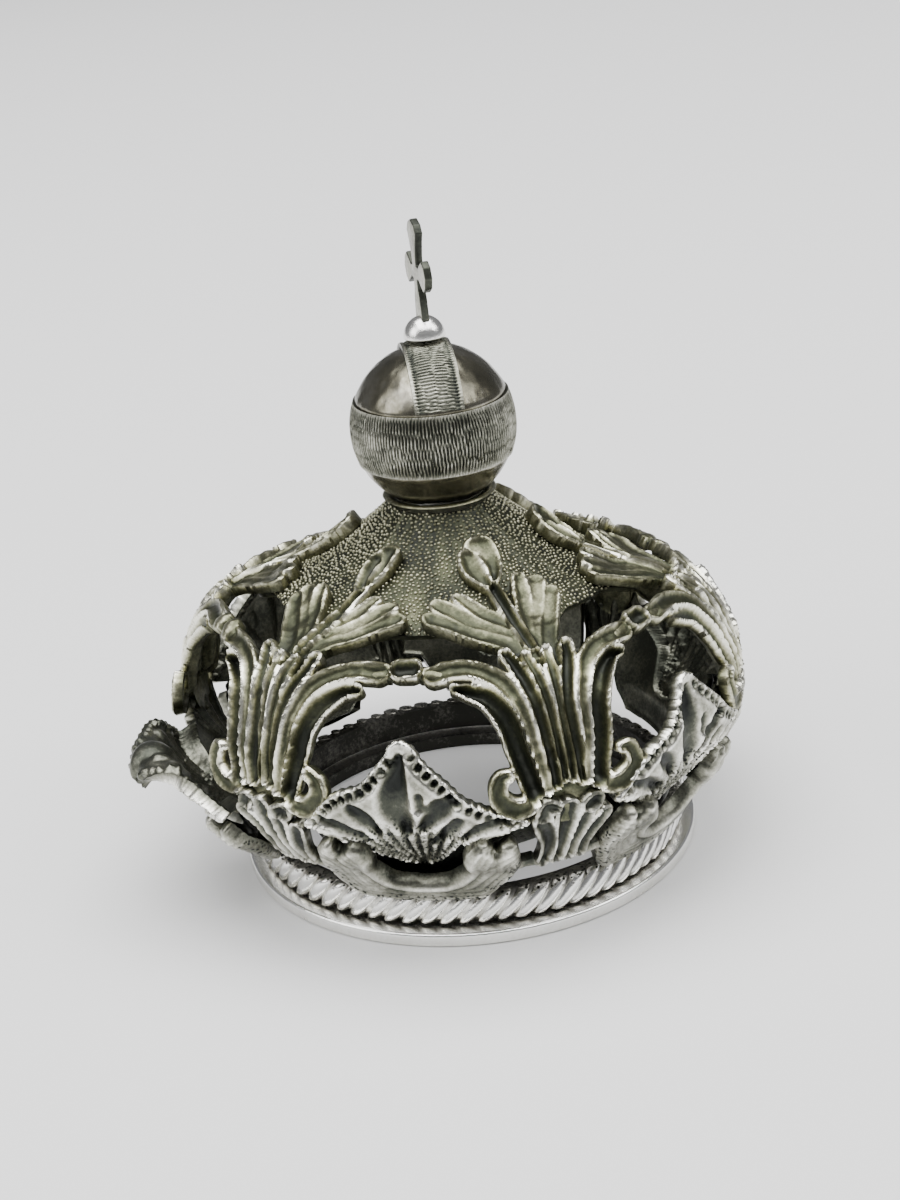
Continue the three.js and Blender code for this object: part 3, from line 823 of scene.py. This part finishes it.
def shell_drawing(seed):
    rng = np.random.default_rng(seed)
    corners = spline(SHELL_LINE + SHELL_LINE[:1], 3)[:-1]
    plate = [(-12.3, 12.1), (12.3, 12.1), (12.3, 5.6), (9.9, 5.1), (8.0, 2.4), (5.5, 0.7), (-5.5, 0.7),
             (-8.0, 2.4), (-9.9, 5.1), (-12.3, 5.6)]
    hollows = [([(x + rng.normal(0, 0.08), u + rng.normal(0, 0.1), w) for x, u, w in knots], deep)
               for knots, deep in HOLLOWS]

    def field(across, up):
        depth, along = line_field(across, up, corners)
        scallop = 0.06 * np.cos(2 * np.pi * along / CELL_PITCH) * smooth(up, 12.0, 13.0)
        return np.maximum(depth + scallop + 0.08 * uneven(across, up, seed, 1.1),
                          line_field(across, up, plate)[0])

    def relief(across, up):
        depth, along = line_field(across, up, corners)
        distance = np.hypot(across, up - SHELL_ROOT)
        height = -1.0 + 2.1 * smooth(distance, 4.0, 16.0) - 0.3 * smooth(np.abs(across), 6, 11)
        ratio = across / np.maximum(up - SHELL_ROOT, 0.5)
        near = 1 - smooth(distance, 10.5, 14.0)
        rib = np.cos(2 * np.pi * ratio / RIB_SPREAD)
        height = height - 0.45 * near * smooth(-rib, 0.1, 0.9)
        rungs = smooth(np.cos(2 * np.pi * (distance + 0.35 * np.abs(rib)) / RUNG_PITCH), 0.0, 0.8)
        height = height - 0.20 * rungs * near * smooth(distance, 5.0, 6.0) * smooth(rib, -0.4, 0.2)
        for knots, deep in hollows:
            inside, width, _ = stroke_field(across, up, knots)
            bowl = np.clip((inside + 0.25) / (width + 0.25), 0, 1)
            height = height - deep * (1 - (1 - bowl) ** 2)
        upper = smooth(up, 11.9, 12.6)
        ridge = np.exp(-((depth - 1.40) / 0.26) ** 2)
        lip = np.exp(-((depth - 0.12) / 0.26) ** 2)
        height = height + upper * (0.16 * ridge + 0.30 * lip)
        sway = 0.9 * uneven(along, along * 0, seed, 2.0)
        tooth = smooth(np.cos(2 * np.pi * along / CELL_PITCH + sway), -0.35, 0.35)
        cell = smooth(depth, 0.25, 0.42) * (1 - smooth(depth, 0.85, 1.15)) * tooth
        cell = cell * upper * (1 - smooth(up, 20.0, 20.8))
        height = height - (0.5 + 0.2 * uneven(across, up, seed + 2, 1.0)) * cell
        knob = np.exp(-((across + 0.1) / 1.1) ** 2 - ((up - 21.2) / 0.7) ** 2)
        height = height + 0.30 * knob + 0.05 * uneven(across, up, seed + 5, 0.7)
        plate_height = PLATE_OUT + 0.9 * (1 - smooth(up, 1.0, 4.0))
        return height + (plate_height - height) * outside_line(depth, up)

    def shade_and_patina(across, up):
        depth, _ = line_field(across, up, corners)
        # Painted shade: the set-back plate beside the root is made darker than its relief alone makes it.
        shade = -0.22 * outside_line(depth, up)
        for knots, _ in hollows:
            inside, width, _ = stroke_field(across, up, knots)
            # The hollows are darkened further, partly as patina and partly as painted shade.
            shade = shade - 0.13 * smooth(inside, -0.15, 0.3)
        return shade

    def punch(across, up):
        distance = np.hypot(across, up - SHELL_ROOT)
        return 0.75 * (1 - smooth(distance, 11.0, 14.0))

    return field, relief, punch, shade_and_patina


# %% Six shells
for number in range(REPEATS):
    field, relief, punch, shade_and_patina = shell_drawing(71 + number)
    shell = sheet(f"shell_{number + 1}", ((-12.5, 12.5), (0.4, 22.6), 0.195), field, relief,
                  put_at(SECTOR * number, bent=number == 0), GREY,
                  punch=punch, shade_and_patina=shade_and_patina, level=0.52)
    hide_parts("crown_body")
print("shells", REPEATS, "faces each", len(shell.data.polygons))

# %% [markdown]
# ## Crescents
#
# Each shell stands in an upturned crescent: a plain bright inner rim, a punched lower border and
# two scrolled ends with lines chased round them.

# %% Crescents
INNER_EDGE = [
    (-4.3, 8.2), (-4.4, 6.9), (-3.7, 5.2), (-2.2, 4.2), (0, 3.9), (2.3, 4.2), (3.9, 5.4), (4.6, 6.8),
    (4.4, 8.0)]
RIGHT_END = [
    (4.9, 9.4), (6.0, 10.6), (7.0, 10.9), (7.6, 10.2), (7.9, 9.5), (8.5, 10.1), (9.5, 10.5), (10.0, 9.3)]
OUTER_EDGE = [
    (9.9, 6.8), (9.2, 4.6), (7.7, 2.7), (6.4, 1.1), (5.4, 0.5), (0, 0.4), (-6.6, 0.45), (-7.8, 1.2),
    (-8.8, 2.8), (-9.6, 4.6), (-10.0, 6.8)]
LEFT_END = [(-9.9, 9.3), (-9.2, 10.6), (-8.2, 10.9), (-7.7, 9.8), (-7.1, 9.9), (-6.2, 10.8), (-5.0, 10.1)]


def crescent_drawing(seed):
    corners = spline(INNER_EDGE + RIGHT_END + OUTER_EDGE + LEFT_END + INNER_EDGE[:1], 4)[:-1]
    inner_line = [(x, u, 0.0) for x, u in INNER_EDGE]
    outer_line = [(x, u, 0.0) for x, u in OUTER_EDGE]

    def field(across, up):
        return line_field(across, up, corners)[0] + 0.1 * uneven(across, up, seed, 1.1)

    def relief(across, up):
        depth, _ = line_field(across, up, corners)
        from_inner = -stroke_field(across, up, inner_line, 4)[0]
        from_outer = -stroke_field(across, up, outer_line, 4)[0]
        ends = smooth(up, 5.5, 9.0)
        height = 0.75 + 0.45 * smooth(depth, 0.0, 0.7) + 0.35 * ends
        height = height + 0.16 * np.exp(-((from_inner - 0.6) / 0.5) ** 2)
        groove = np.exp(-((from_inner - 1.3) / 0.15) ** 2)
        height = height - 0.22 * groove * (1 - ends)
        lines = np.cos(2 * np.pi * (from_outer + 0.3 * uneven(across, up, seed + 1, 2.0)) / 0.7)
        height = height + 0.07 * lines * smooth(from_inner, 1.4, 1.9)
        swirl = np.hypot(np.abs(across) - 6.2, up - 9.0)
        curl = np.exp(-((swirl - 1.5) / 0.16) ** 2) * smooth(np.abs(across), 5.4, 6.4)
        height = height - 0.22 * curl * ends
        facet = np.abs(uneven(across, up, seed + 2, 2.1))
        return height + 0.28 * facet * ends + 0.05 * uneven(across, up, seed + 3, 0.8)

    def punch(across, up):
        from_outer = -stroke_field(across, up, outer_line, 4)[0]
        return 1 - smooth(from_outer, 1.3, 1.9)

    return field, relief, punch


# %% Six crescents
for number in range(REPEATS):
    field, relief, punch = crescent_drawing(91 + number)
    crescent = sheet(f"crescent_{number + 1}", ((-10.8, 10.8), (0.2, 11.4), 0.18), field, relief,
                     put_at(SECTOR * number, bent=number == 0), GREY, punch=punch, level=0.54)
    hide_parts("crown_body")
print("crescents", REPEATS, "faces each", len(crescent.data.polygons))

# %% [markdown]
# ## Matting on the dome
#
# The plain ground between the leaves was struck all over with a matting punch, which leaves a
# close field of tiny grains. Geometry Nodes scatters them over the dome and sinks each halfway.

# %% Scatter the grains
GRAIN_REACH = 19.0
GRAIN_UPWARD = 0.15
tree = Nodes("matting grains", {"Spacing": 0.39 * MM, "Grain radius": 0.215 * MM})
spacing, grain_radius = tree.entry.outputs[0], tree.entry.outputs[1]
source = tree.add("GeometryNodeObjectInfo")
source.inputs["Object"].default_value = dome
spots = tree.add("GeometryNodeDistributePointsOnFaces", {
    "Mesh": source.outputs["Geometry"], "Distance Min": spacing, "Density Max": 3e7, "Seed": 3},
    distribute_method="POISSON")
place_of = tree.add("GeometryNodeInputPosition").outputs[0]
apart = tree.add("ShaderNodeSeparateXYZ", {0: place_of})
across_x = tree.math("SUBTRACT", apart.outputs[0], RING_MIDDLE.x * MM)
across_y = tree.math("SUBTRACT", apart.outputs[1], RING_MIDDLE.y * MM)
reach = tree.math("SQRT", tree.math("ADD", tree.math("MULTIPLY", across_x, across_x),
                                    tree.math("MULTIPLY", across_y, across_y)))
facing = tree.add("ShaderNodeSeparateXYZ", {0: spots.outputs["Normal"]})
upward = tree.math("GREATER_THAN", facing.outputs[2], GRAIN_UPWARD)
near_enough = tree.math("LESS_THAN", reach, GRAIN_REACH * MM)
kept = tree.math("MULTIPLY", upward, near_enough)
outside = tree.add("GeometryNodeDeleteGeometry", {
    "Geometry": spots.outputs["Points"], "Selection": tree.math("LESS_THAN", kept, 0.5)})
grain = tree.add("GeometryNodeMeshIcoSphere", {"Radius": grain_radius, "Subdivisions": 1})
size = tree.add("FunctionNodeRandomValue", data_type="FLOAT")
size.inputs[2].default_value = 0.6
size.inputs[3].default_value = 1.15
size.inputs["Seed"].default_value = 8
copies = tree.add("GeometryNodeInstanceOnPoints", {
    "Points": outside.outputs[0], "Instance": grain.outputs[0], "Scale": size.outputs[1]})
grains = tree.build("matting_grains", copies.outputs[0], CHASED)
give_wear(grains, 0.60)
grains.data.shade_smooth()
finish_piece(grains)
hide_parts("crown_body")
print("matting grains", len(grains.data.polygons), "faces")

# %% [markdown]
# ## The turned parts
#
# The foot ring, the neck ring, the orb and its half-round bead are turned work, so they are made
# by turning a profile. They were finished by hand, so the orb is given a little unevenness.

# %% Turn a profile


def turned(name, profile, columns, material, wear, dent=0.0):
    """Turn a closed profile of (radius, height) about the ring's axis; wear is one value a row."""
    profile = np.asarray(profile, float)
    rows = len(profile)
    angles = np.linspace(0, 2 * np.pi, columns, endpoint=False)
    near_axis = np.minimum(profile[:, 0][:, None], 1)
    r = profile[:, 0][:, None] + dent * near_axis * uneven(
        np.degrees(angles)[None, :] / 6, np.arange(rows)[:, None] * 0.35, 1, 1.0)
    r = np.maximum(r, 0)
    z = np.repeat(profile[:, 1][:, None], columns, axis=1)
    x = RING_MIDDLE.x + r * np.sin(angles)
    y = RING_MIDDLE.y - r * np.cos(angles)
    points = np.stack([x, y, z], -1).reshape(-1, 3)
    index = np.pad(np.arange(rows * columns).reshape(rows, columns), (0, 1), mode="wrap")
    return new_mesh(name, points, quads(index).reshape(-1, 4), np.repeat(wear, columns), material)


def close_poles(made):
    """Merge the rows that lie on the axis, so that the piece closes over its poles."""
    shape = bmesh.new()
    shape.from_mesh(made.data)
    bmesh.ops.remove_doubles(shape, verts=shape.verts, dist=1e-7)
    bmesh.ops.dissolve_degenerate(shape, edges=shape.edges, dist=1e-8)
    bmesh.ops.recalc_face_normals(shape, faces=shape.faces)
    shape.to_mesh(made.data)
    shape.free()


def ring_profile(outer, inner, low, high, round_edge, steps=5):
    """A rectangle with rounded outer corners, as a closed loop."""
    loop = [(inner, low)]
    for centre, start in (((outer - round_edge, low + round_edge), -90),
                          ((outer - round_edge, high - round_edge), 0)):
        for k in range(steps + 1):
            a = math.radians(start + 90 * k / steps)
            loop.append((centre[0] + round_edge * math.cos(a), centre[1] + round_edge * math.sin(a)))
    loop.append((inner, high))
    return loop


# %% The ring and the neck
RING_INNER, RING_EDGE = 20.4, 0.35
ring_line = ring_profile(FLANGE_RADIUS, RING_INNER, 0.0, ring_high.z / MM, RING_EDGE)
flange = turned("flange_plate", ring_line, 420, BRIGHT,
                wear=[0.0] + [0.62] * 6 + [0.8] * 6 + [0.05])
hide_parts("base_flange")
neck_low, neck_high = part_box("neck_ring")
NECK_Z, NECK_TOP = neck_low.z / MM, neck_high.z / MM
neck_line = [(4.7, NECK_Z), (5.7, NECK_Z), (6.0, NECK_Z + 0.22), (5.9, NECK_Z + 0.36),
             (5.6, NECK_TOP), (4.7, NECK_Z + 0.1)]
neck = turned("neck_moulding", neck_line, 120, CHASED,
              wear=[0.2, 0.35, 0.55, 0.6, 0.5, 0.2])
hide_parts("neck_ring")
print("flange and neck faces", len(flange.data.polygons), len(neck.data.polygons))

# %% [markdown]
# ## The rope moulding
#
# A twisted wire lies in the angle between flange and body. The core is turned; the lobes are one
# short leaning bar repeated round the ring by a Geometry Nodes tree.

# %% Twist the rope
rope_low, rope_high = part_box("rope_moulding")
ROPE_LOW, ROPE_HIGH = rope_low.z / MM, rope_high.z / MM
ROPE_RADIUS = (rope_high.x - rope_low.x) / 2 / MM
ROPE_MIDDLE = (ROPE_LOW + ROPE_HIGH) / 2

core_line = [(21.7, ROPE_LOW + 0.15), (22.9, ROPE_LOW + 0.05), (23.4, ROPE_LOW + 0.7),
             (23.62, ROPE_MIDDLE), (23.4, ROPE_HIGH - 0.7), (22.9, ROPE_HIGH - 0.05),
             (21.7, ROPE_HIGH - 0.15)]
core = turned("rope_core", core_line, 360, BRIGHT,
              wear=[0.05, 0.15, 0.42, 0.5, 0.42, 0.15, 0.05])
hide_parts("rope_moulding")

tree = Nodes("rope lobes", {"Lobes": 74, "Lobe radius": 0.95 * MM, "Ring radius": 22.95 * MM})
lobes, lobe_radius, ring_radius = (tree.entry.outputs[k] for k in range(3))
ball = tree.add("GeometryNodeMeshUVSphere", {"Segments": 16, "Rings": 12, "Radius": lobe_radius})
circle = tree.add("GeometryNodeMeshCircle", {"Vertices": lobes, "Radius": ring_radius})
turn = tree.add("GeometryNodeInputIndex").outputs[0]
angle = tree.math("DIVIDE", tree.math("MULTIPLY", turn, 2 * math.pi), lobes)
spin = tree.add("ShaderNodeCombineXYZ", {"Z": angle})
copies = tree.add("GeometryNodeInstanceOnPoints", {
    "Points": circle.outputs[0], "Instance": ball.outputs[0], "Rotation": spin.outputs[0],
    "Scale": (1.12, 1.22, 2.35)})
jitter = tree.add("FunctionNodeRandomValue", data_type="FLOAT")
jitter.inputs[2].default_value = 0.90
jitter.inputs[3].default_value = 1.06
jitter.inputs["Seed"].default_value = 5
sized = tree.add("GeometryNodeScaleInstances", {
    "Instances": copies.outputs[0], "Scale": jitter.outputs[1]})
rope = tree.build("rope_lobes", sized.outputs[0], BRIGHT)

# %% Lean the lobes
LOBE_LEAN = 0.034
points = coordinates(rope)
radius = np.hypot(points[:, 0], points[:, 1])
lift = points[:, 2]
turns = np.arctan2(points[:, 1], points[:, 0]) + lift * LOBE_LEAN
radius = np.minimum(radius, ROPE_RADIUS)
lift = np.clip(lift, ROPE_LOW - ROPE_MIDDLE, ROPE_HIGH - ROPE_MIDDLE)
shaped = np.stack([RING_MIDDLE.x + radius * np.cos(turns), RING_MIDDLE.y + radius * np.sin(turns),
                   ROPE_MIDDLE + lift], -1)
move_points(rope, shaped)
give_wear(rope, 0.32 + 0.42 * smooth(radius, 23.2, 23.85) - 0.10 * smooth(lift, 1.0, 1.6))
give_wear(rope, 0.9 * smooth(lift, 0.7, 1.3), "punch")
rope.data.shade_smooth()
finish_piece(rope)
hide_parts("rope_moulding")
print("rope lobes", len(rope.data.polygons), "faces")

# %% [markdown]
# ## The orb, its band and its strap
#
# The orb is raised from two bowls, with a seat under the band. The band is chased with close,
# wavering upright lines, and the strap over the top with level ones.

# %% The orb
orb_low, orb_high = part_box("orb")
ORB_RADIUS = (orb_high.z - orb_low.z) / 2 / MM
ORB_Z = (orb_high.z + orb_low.z) / 2 / MM
band_low, band_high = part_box("orb_band")
BAND_RADIUS = (band_high.x - band_low.x) / 2 / MM
BAND_HALF = math.radians(22)
ORB_SEAT = 8.25
ORB_ROWS = 73
print("orb radius", round(ORB_RADIUS, 2), "band radius", round(BAND_RADIUS, 2))


def orb_profile():
    profile = []
    for latitude in np.radians(np.linspace(-90, 90, ORB_ROWS)):
        level = abs(latitude)
        seat = smooth(np.array(math.degrees(level)), 21.5, 23.0)
        r = ORB_SEAT + (ORB_RADIUS - ORB_SEAT) * float(seat)
        profile.append((r * math.cos(latitude), ORB_Z + r * math.sin(latitude)))
    profile[0] = (0.0, ORB_Z - ORB_RADIUS)
    profile[-1] = (0.0, ORB_Z + ORB_RADIUS)
    return profile


orb = turned("orb_ball", orb_profile(), 144, POLISHED, wear=[0.34] * ORB_ROWS, dent=0.05)
close_poles(orb)
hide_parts("orb")


def put_orb(azimuth, across, up, radius):
    """Millimetres round and up the orb from a middle line at an azimuth on its equator."""
    turn = np.radians(azimuth) + across / ORB_RADIUS
    tilt = up / ORB_RADIUS
    level = radius * np.cos(tilt)
    return np.stack([RING_MIDDLE.x + level * np.sin(turn), RING_MIDDLE.y - level * np.cos(turn),
                     ORB_Z + radius * np.sin(tilt)], -1)


# %% [markdown]
# ### The band
#
# A strip soldered round the ball's middle. Its chased lines are real relief, a third of a
# millimetre apart, and each row of strokes is shifted a little against the next, like bark.

# %% The band round it
LINE_PITCH = 0.36
STROKE_LENGTH = 1.5


def bark(across, along, seed):
    """Close wavering lines along a band, each as long as one stroke of the graver."""
    sway = 0.22 * uneven(across, along, seed, 0.9)
    row = np.floor(along / STROKE_LENGTH + 0.35 * uneven(across, along, seed + 1, 1.1))
    phase = across / LINE_PITCH + sway + 0.37 * row
    return smooth(np.abs(np.mod(phase, 1) - 0.5) * 2, 0.25, 0.75)


def band_relief(across, up):
    edge = up / (ORB_RADIUS * BAND_HALF)
    rim = smooth(edge, 0.90, 0.95) + smooth(-edge, 0.94, 0.98)
    lines = bark(across, up, 101)
    return -0.06 * rim - 0.30 * (1 - rim) + 0.20 * lines * (1 - rim) + 0.03 * uneven(across, up, 103, 1.2)


band_up = ORB_RADIUS * BAND_HALF
band_round = 2 * math.pi * ORB_RADIUS
across, up = np.meshgrid(np.linspace(0, band_round, 820, endpoint=False),
                         np.linspace(-band_up, band_up, 18))
height = band_relief(across, up)
outer = put_orb(0, across, up, np.minimum(BAND_RADIUS + height + 0.05, BAND_RADIUS))
inner = put_orb(0, across, up, np.full_like(across, ORB_SEAT + 0.04))
wear = np.clip(0.45 + 1.5 * (height - height.mean()), 0, 1)
band = slab("orb_band_sheet", outer, inner, wear, 0.2, wrap=True)
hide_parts("orb_band")
print("band faces", len(band.data.polygons))

# %% [markdown]
# ### The strap
#
# A half hoop runs from band to band over the top, with a plain rim on each side and level lines
# between. It is laid on the ball after the band, so it stops just above it.

# %% The strap over the top
STRAP_AZIMUTH = 77.5
STRAP_HALF = 2.5
STRAP_START = BAND_HALF + math.radians(2.6)


def strap_relief(across, along):
    lines = bark(along * ORB_RADIUS, across, 111)
    edge = np.abs(across) / STRAP_HALF
    rim = smooth(edge, 0.80, 0.88)
    groove = np.exp(-((edge - 0.76) / 0.06) ** 2)
    return 0.22 * rim + (1 - rim) * (0.08 + 0.12 * lines) - 0.14 * groove


def put_strap(across, along, radius):
    level = np.sqrt(np.maximum(radius ** 2 - across ** 2, 0))
    forward, upward = level * np.cos(along), level * np.sin(along)
    turn = math.radians(STRAP_AZIMUTH)
    east, north = math.sin(turn), -math.cos(turn)
    return np.stack([RING_MIDDLE.x + forward * east - across * north,
                     RING_MIDDLE.y + forward * north + across * east, ORB_Z + upward], -1)


STRAP_SUNK = 0.22
across, along = np.meshgrid(np.linspace(-STRAP_HALF, STRAP_HALF, 20),
                            np.linspace(STRAP_START, math.pi - STRAP_START, 340))
height = strap_relief(across, along)
outer = put_strap(across, along, ORB_RADIUS + GAP + height)
inner = put_strap(across, along, np.full_like(across, ORB_RADIUS + GAP - STRAP_SUNK))
wear = np.clip(0.43 + 1.7 * (height - height.mean()), 0, 1)
strap = slab("orb_strap_sheet", outer, inner, wear, 0.15)
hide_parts("orb_strap")
close_poles(strap)
print("strap faces", len(strap.data.polygons))

# %% [markdown]
# ## The bead
#
# A half-round bead, turned like the ball, sits on the strap and holds the cross.

# %% The bead
bead_low, bead_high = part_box("top_bead")
BEAD_Z, BEAD_RADIUS = bead_low.z / MM, (bead_high.x - bead_low.x) / 2 / MM
bead_line = [(0.0, BEAD_Z), (BEAD_RADIUS - 0.06, BEAD_Z), (BEAD_RADIUS, BEAD_Z + 0.06)]
BEAD_RINGS = 20
for k in range(1, BEAD_RINGS + 1):
    rise = math.radians(90 * k / BEAD_RINGS)
    bead_line.append((BEAD_RADIUS * math.cos(rise), BEAD_Z + (bead_high.z / MM - BEAD_Z) * math.sin(rise)))
bead = turned("half_bead", bead_line, 96, BRIGHT,
              wear=[0.3, 0.3, 0.4] + [0.68] * BEAD_RINGS)
close_poles(bead)
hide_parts("top_bead")
print("bead faces", len(bead.data.polygons))

# %% [markdown]
# ## The cross
#
# A flat plate, sawn to a cross with flared arms, its edges softened by wear. Half the outline is
# drawn and mirrored, and the plate's tang goes down into the bead.

# %% The cross
CROSS_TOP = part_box("cross")[1].z / MM
CROSS_FOOT = bead_high.z / MM - 0.4
CROSS_MIDDLE = 63.6
CROSS_AZIMUTH = -4.5
CROSS_THICKNESS = 0.8
CROSS_REACH = 4.0


def cross_line():
    reach = CROSS_REACH
    top = CROSS_TOP - CROSS_MIDDLE
    foot = CROSS_MIDDLE - CROSS_FOOT
    side = [(0.0, top), (1.15, top - 0.45), (1.7, top - 1.3), (1.25, top - 2.2), (0.72, 1.55), (0.68, 0.75),
            (1.3, 0.66), (reach - 2.1, 1.1), (reach - 1.2, 1.62), (reach - 0.4, 1.1), (reach, 0.0),
            (reach - 0.4, -1.1), (reach - 1.2, -1.62), (reach - 2.1, -1.1), (1.3, -0.66), (0.68, -0.75),
            (0.72, -1.7), (1.05, -2.6), (1.3, -foot)]
    return side + [(-x, z) for x, z in side[::-1] if x > 0]


mesh = bpy.data.meshes.new("cross_plate")
shape = bmesh.new()
outline = cross_line()
front = [shape.verts.new((x, -CROSS_THICKNESS / 2, z)) for x, z in outline]
face = shape.faces.new(front)
grown = bmesh.ops.extrude_face_region(shape, geom=[face])
for moved in [v for v in grown["geom"] if isinstance(v, bmesh.types.BMVert)]:
    moved.co.y = CROSS_THICKNESS / 2
bmesh.ops.recalc_face_normals(shape, faces=shape.faces)
bmesh.ops.bevel(shape, geom=[e for e in shape.edges], offset=0.14, segments=3, profile=0.5,
                affect="EDGES", clamp_overlap=True)
bmesh.ops.triangulate(shape, faces=[f for f in shape.faces if len(f.verts) > 4])
turn = math.radians(CROSS_AZIMUTH)
for vertex in shape.verts:
    x, y, z = vertex.co
    vertex.co = Vector((RING_MIDDLE.x + x * math.cos(turn) - y * math.sin(turn),
                        RING_MIDDLE.y + x * math.sin(turn) + y * math.cos(turn), CROSS_MIDDLE + z)) * MM
shape.to_mesh(mesh)
shape.free()
mesh.materials.append(GREY)
cross = bpy.data.objects.new("cross_plate", mesh)
bpy.context.scene.collection.objects.link(cross)
flat = np.array([abs(p.normal.y * math.cos(turn) - p.normal.x * math.sin(turn)) > 0.9
                 for p in cross.data.polygons])
face_wear = np.full(len(cross.data.vertices), 0.62)
for polygon, level in zip(cross.data.polygons, flat):
    if not level:
        face_wear[list(polygon.vertices)] = 0.30
give_wear(cross, face_wear)
cross.data.shade_smooth()
cross.data.set_sharp_from_angle(angle=math.radians(50))
finish_piece(cross)
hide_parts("cross")
print("cross faces", len(cross.data.polygons))

# %% [markdown]
# ## The studio
#
# A pale matt floor and soft light from above, as for a catalogue.

# %% Floor and light
FLOOR = 3.5
paper = bpy.data.materials.new("paper")
paper.use_nodes = True
paper.node_tree.nodes["Principled BSDF"].inputs["Base Color"].default_value = (0.78, 0.78, 0.78, 1)
paper.node_tree.nodes["Principled BSDF"].inputs["Roughness"].default_value = 0.8
floor_mesh = bpy.data.meshes.new("floor")
floor_mesh.from_pydata([(-FLOOR, -FLOOR, 0), (FLOOR, -FLOOR, 0), (FLOOR, FLOOR, 0), (-FLOOR, FLOOR, 0)],
                       [], [(0, 1, 2, 3)])
floor_mesh.materials.append(paper)
floor = bpy.data.objects.new("floor", floor_mesh)
bpy.context.scene.collection.objects.link(floor)


def softbox(name, azimuth, elevation, distance, size, power, aim=0.03):
    """A rectangular light, distance metres away, aimed at a point above the floor's middle."""
    lamp = bpy.data.lights.new(name, "AREA")
    lamp.shape = "RECTANGLE"
    lamp.size, lamp.size_y = size
    lamp.energy = power
    made = bpy.data.objects.new(name, lamp)
    a, e = math.radians(azimuth), math.radians(elevation)
    spot = Vector((distance * math.cos(e) * math.sin(a), -distance * math.cos(e) * math.cos(a),
                   distance * math.sin(e)))
    turn = (spot - Vector((0, 0, aim))).to_track_quat("Z", "Y")
    made.matrix_world = Matrix.Translation(spot) @ turn.to_matrix().to_4x4()
    bpy.context.scene.collection.objects.link(made)


softbox("ceiling", 71.5, 86, 2.4, (3.0, 3.0), 165.0)
softbox("window", 0, 34, 0.8, (0.5, 0.5), 3.0)
softbox("lamp", 150, 44, 0.8, (0.35, 0.35), 2.2)
world = bpy.data.worlds.new("studio")
world.use_nodes = True
world.node_tree.nodes["Background"].inputs["Color"].default_value = (0.80, 0.81, 0.84, 1)
world.node_tree.nodes["Background"].inputs["Strength"].default_value = 0.24
bpy.context.scene.world = world
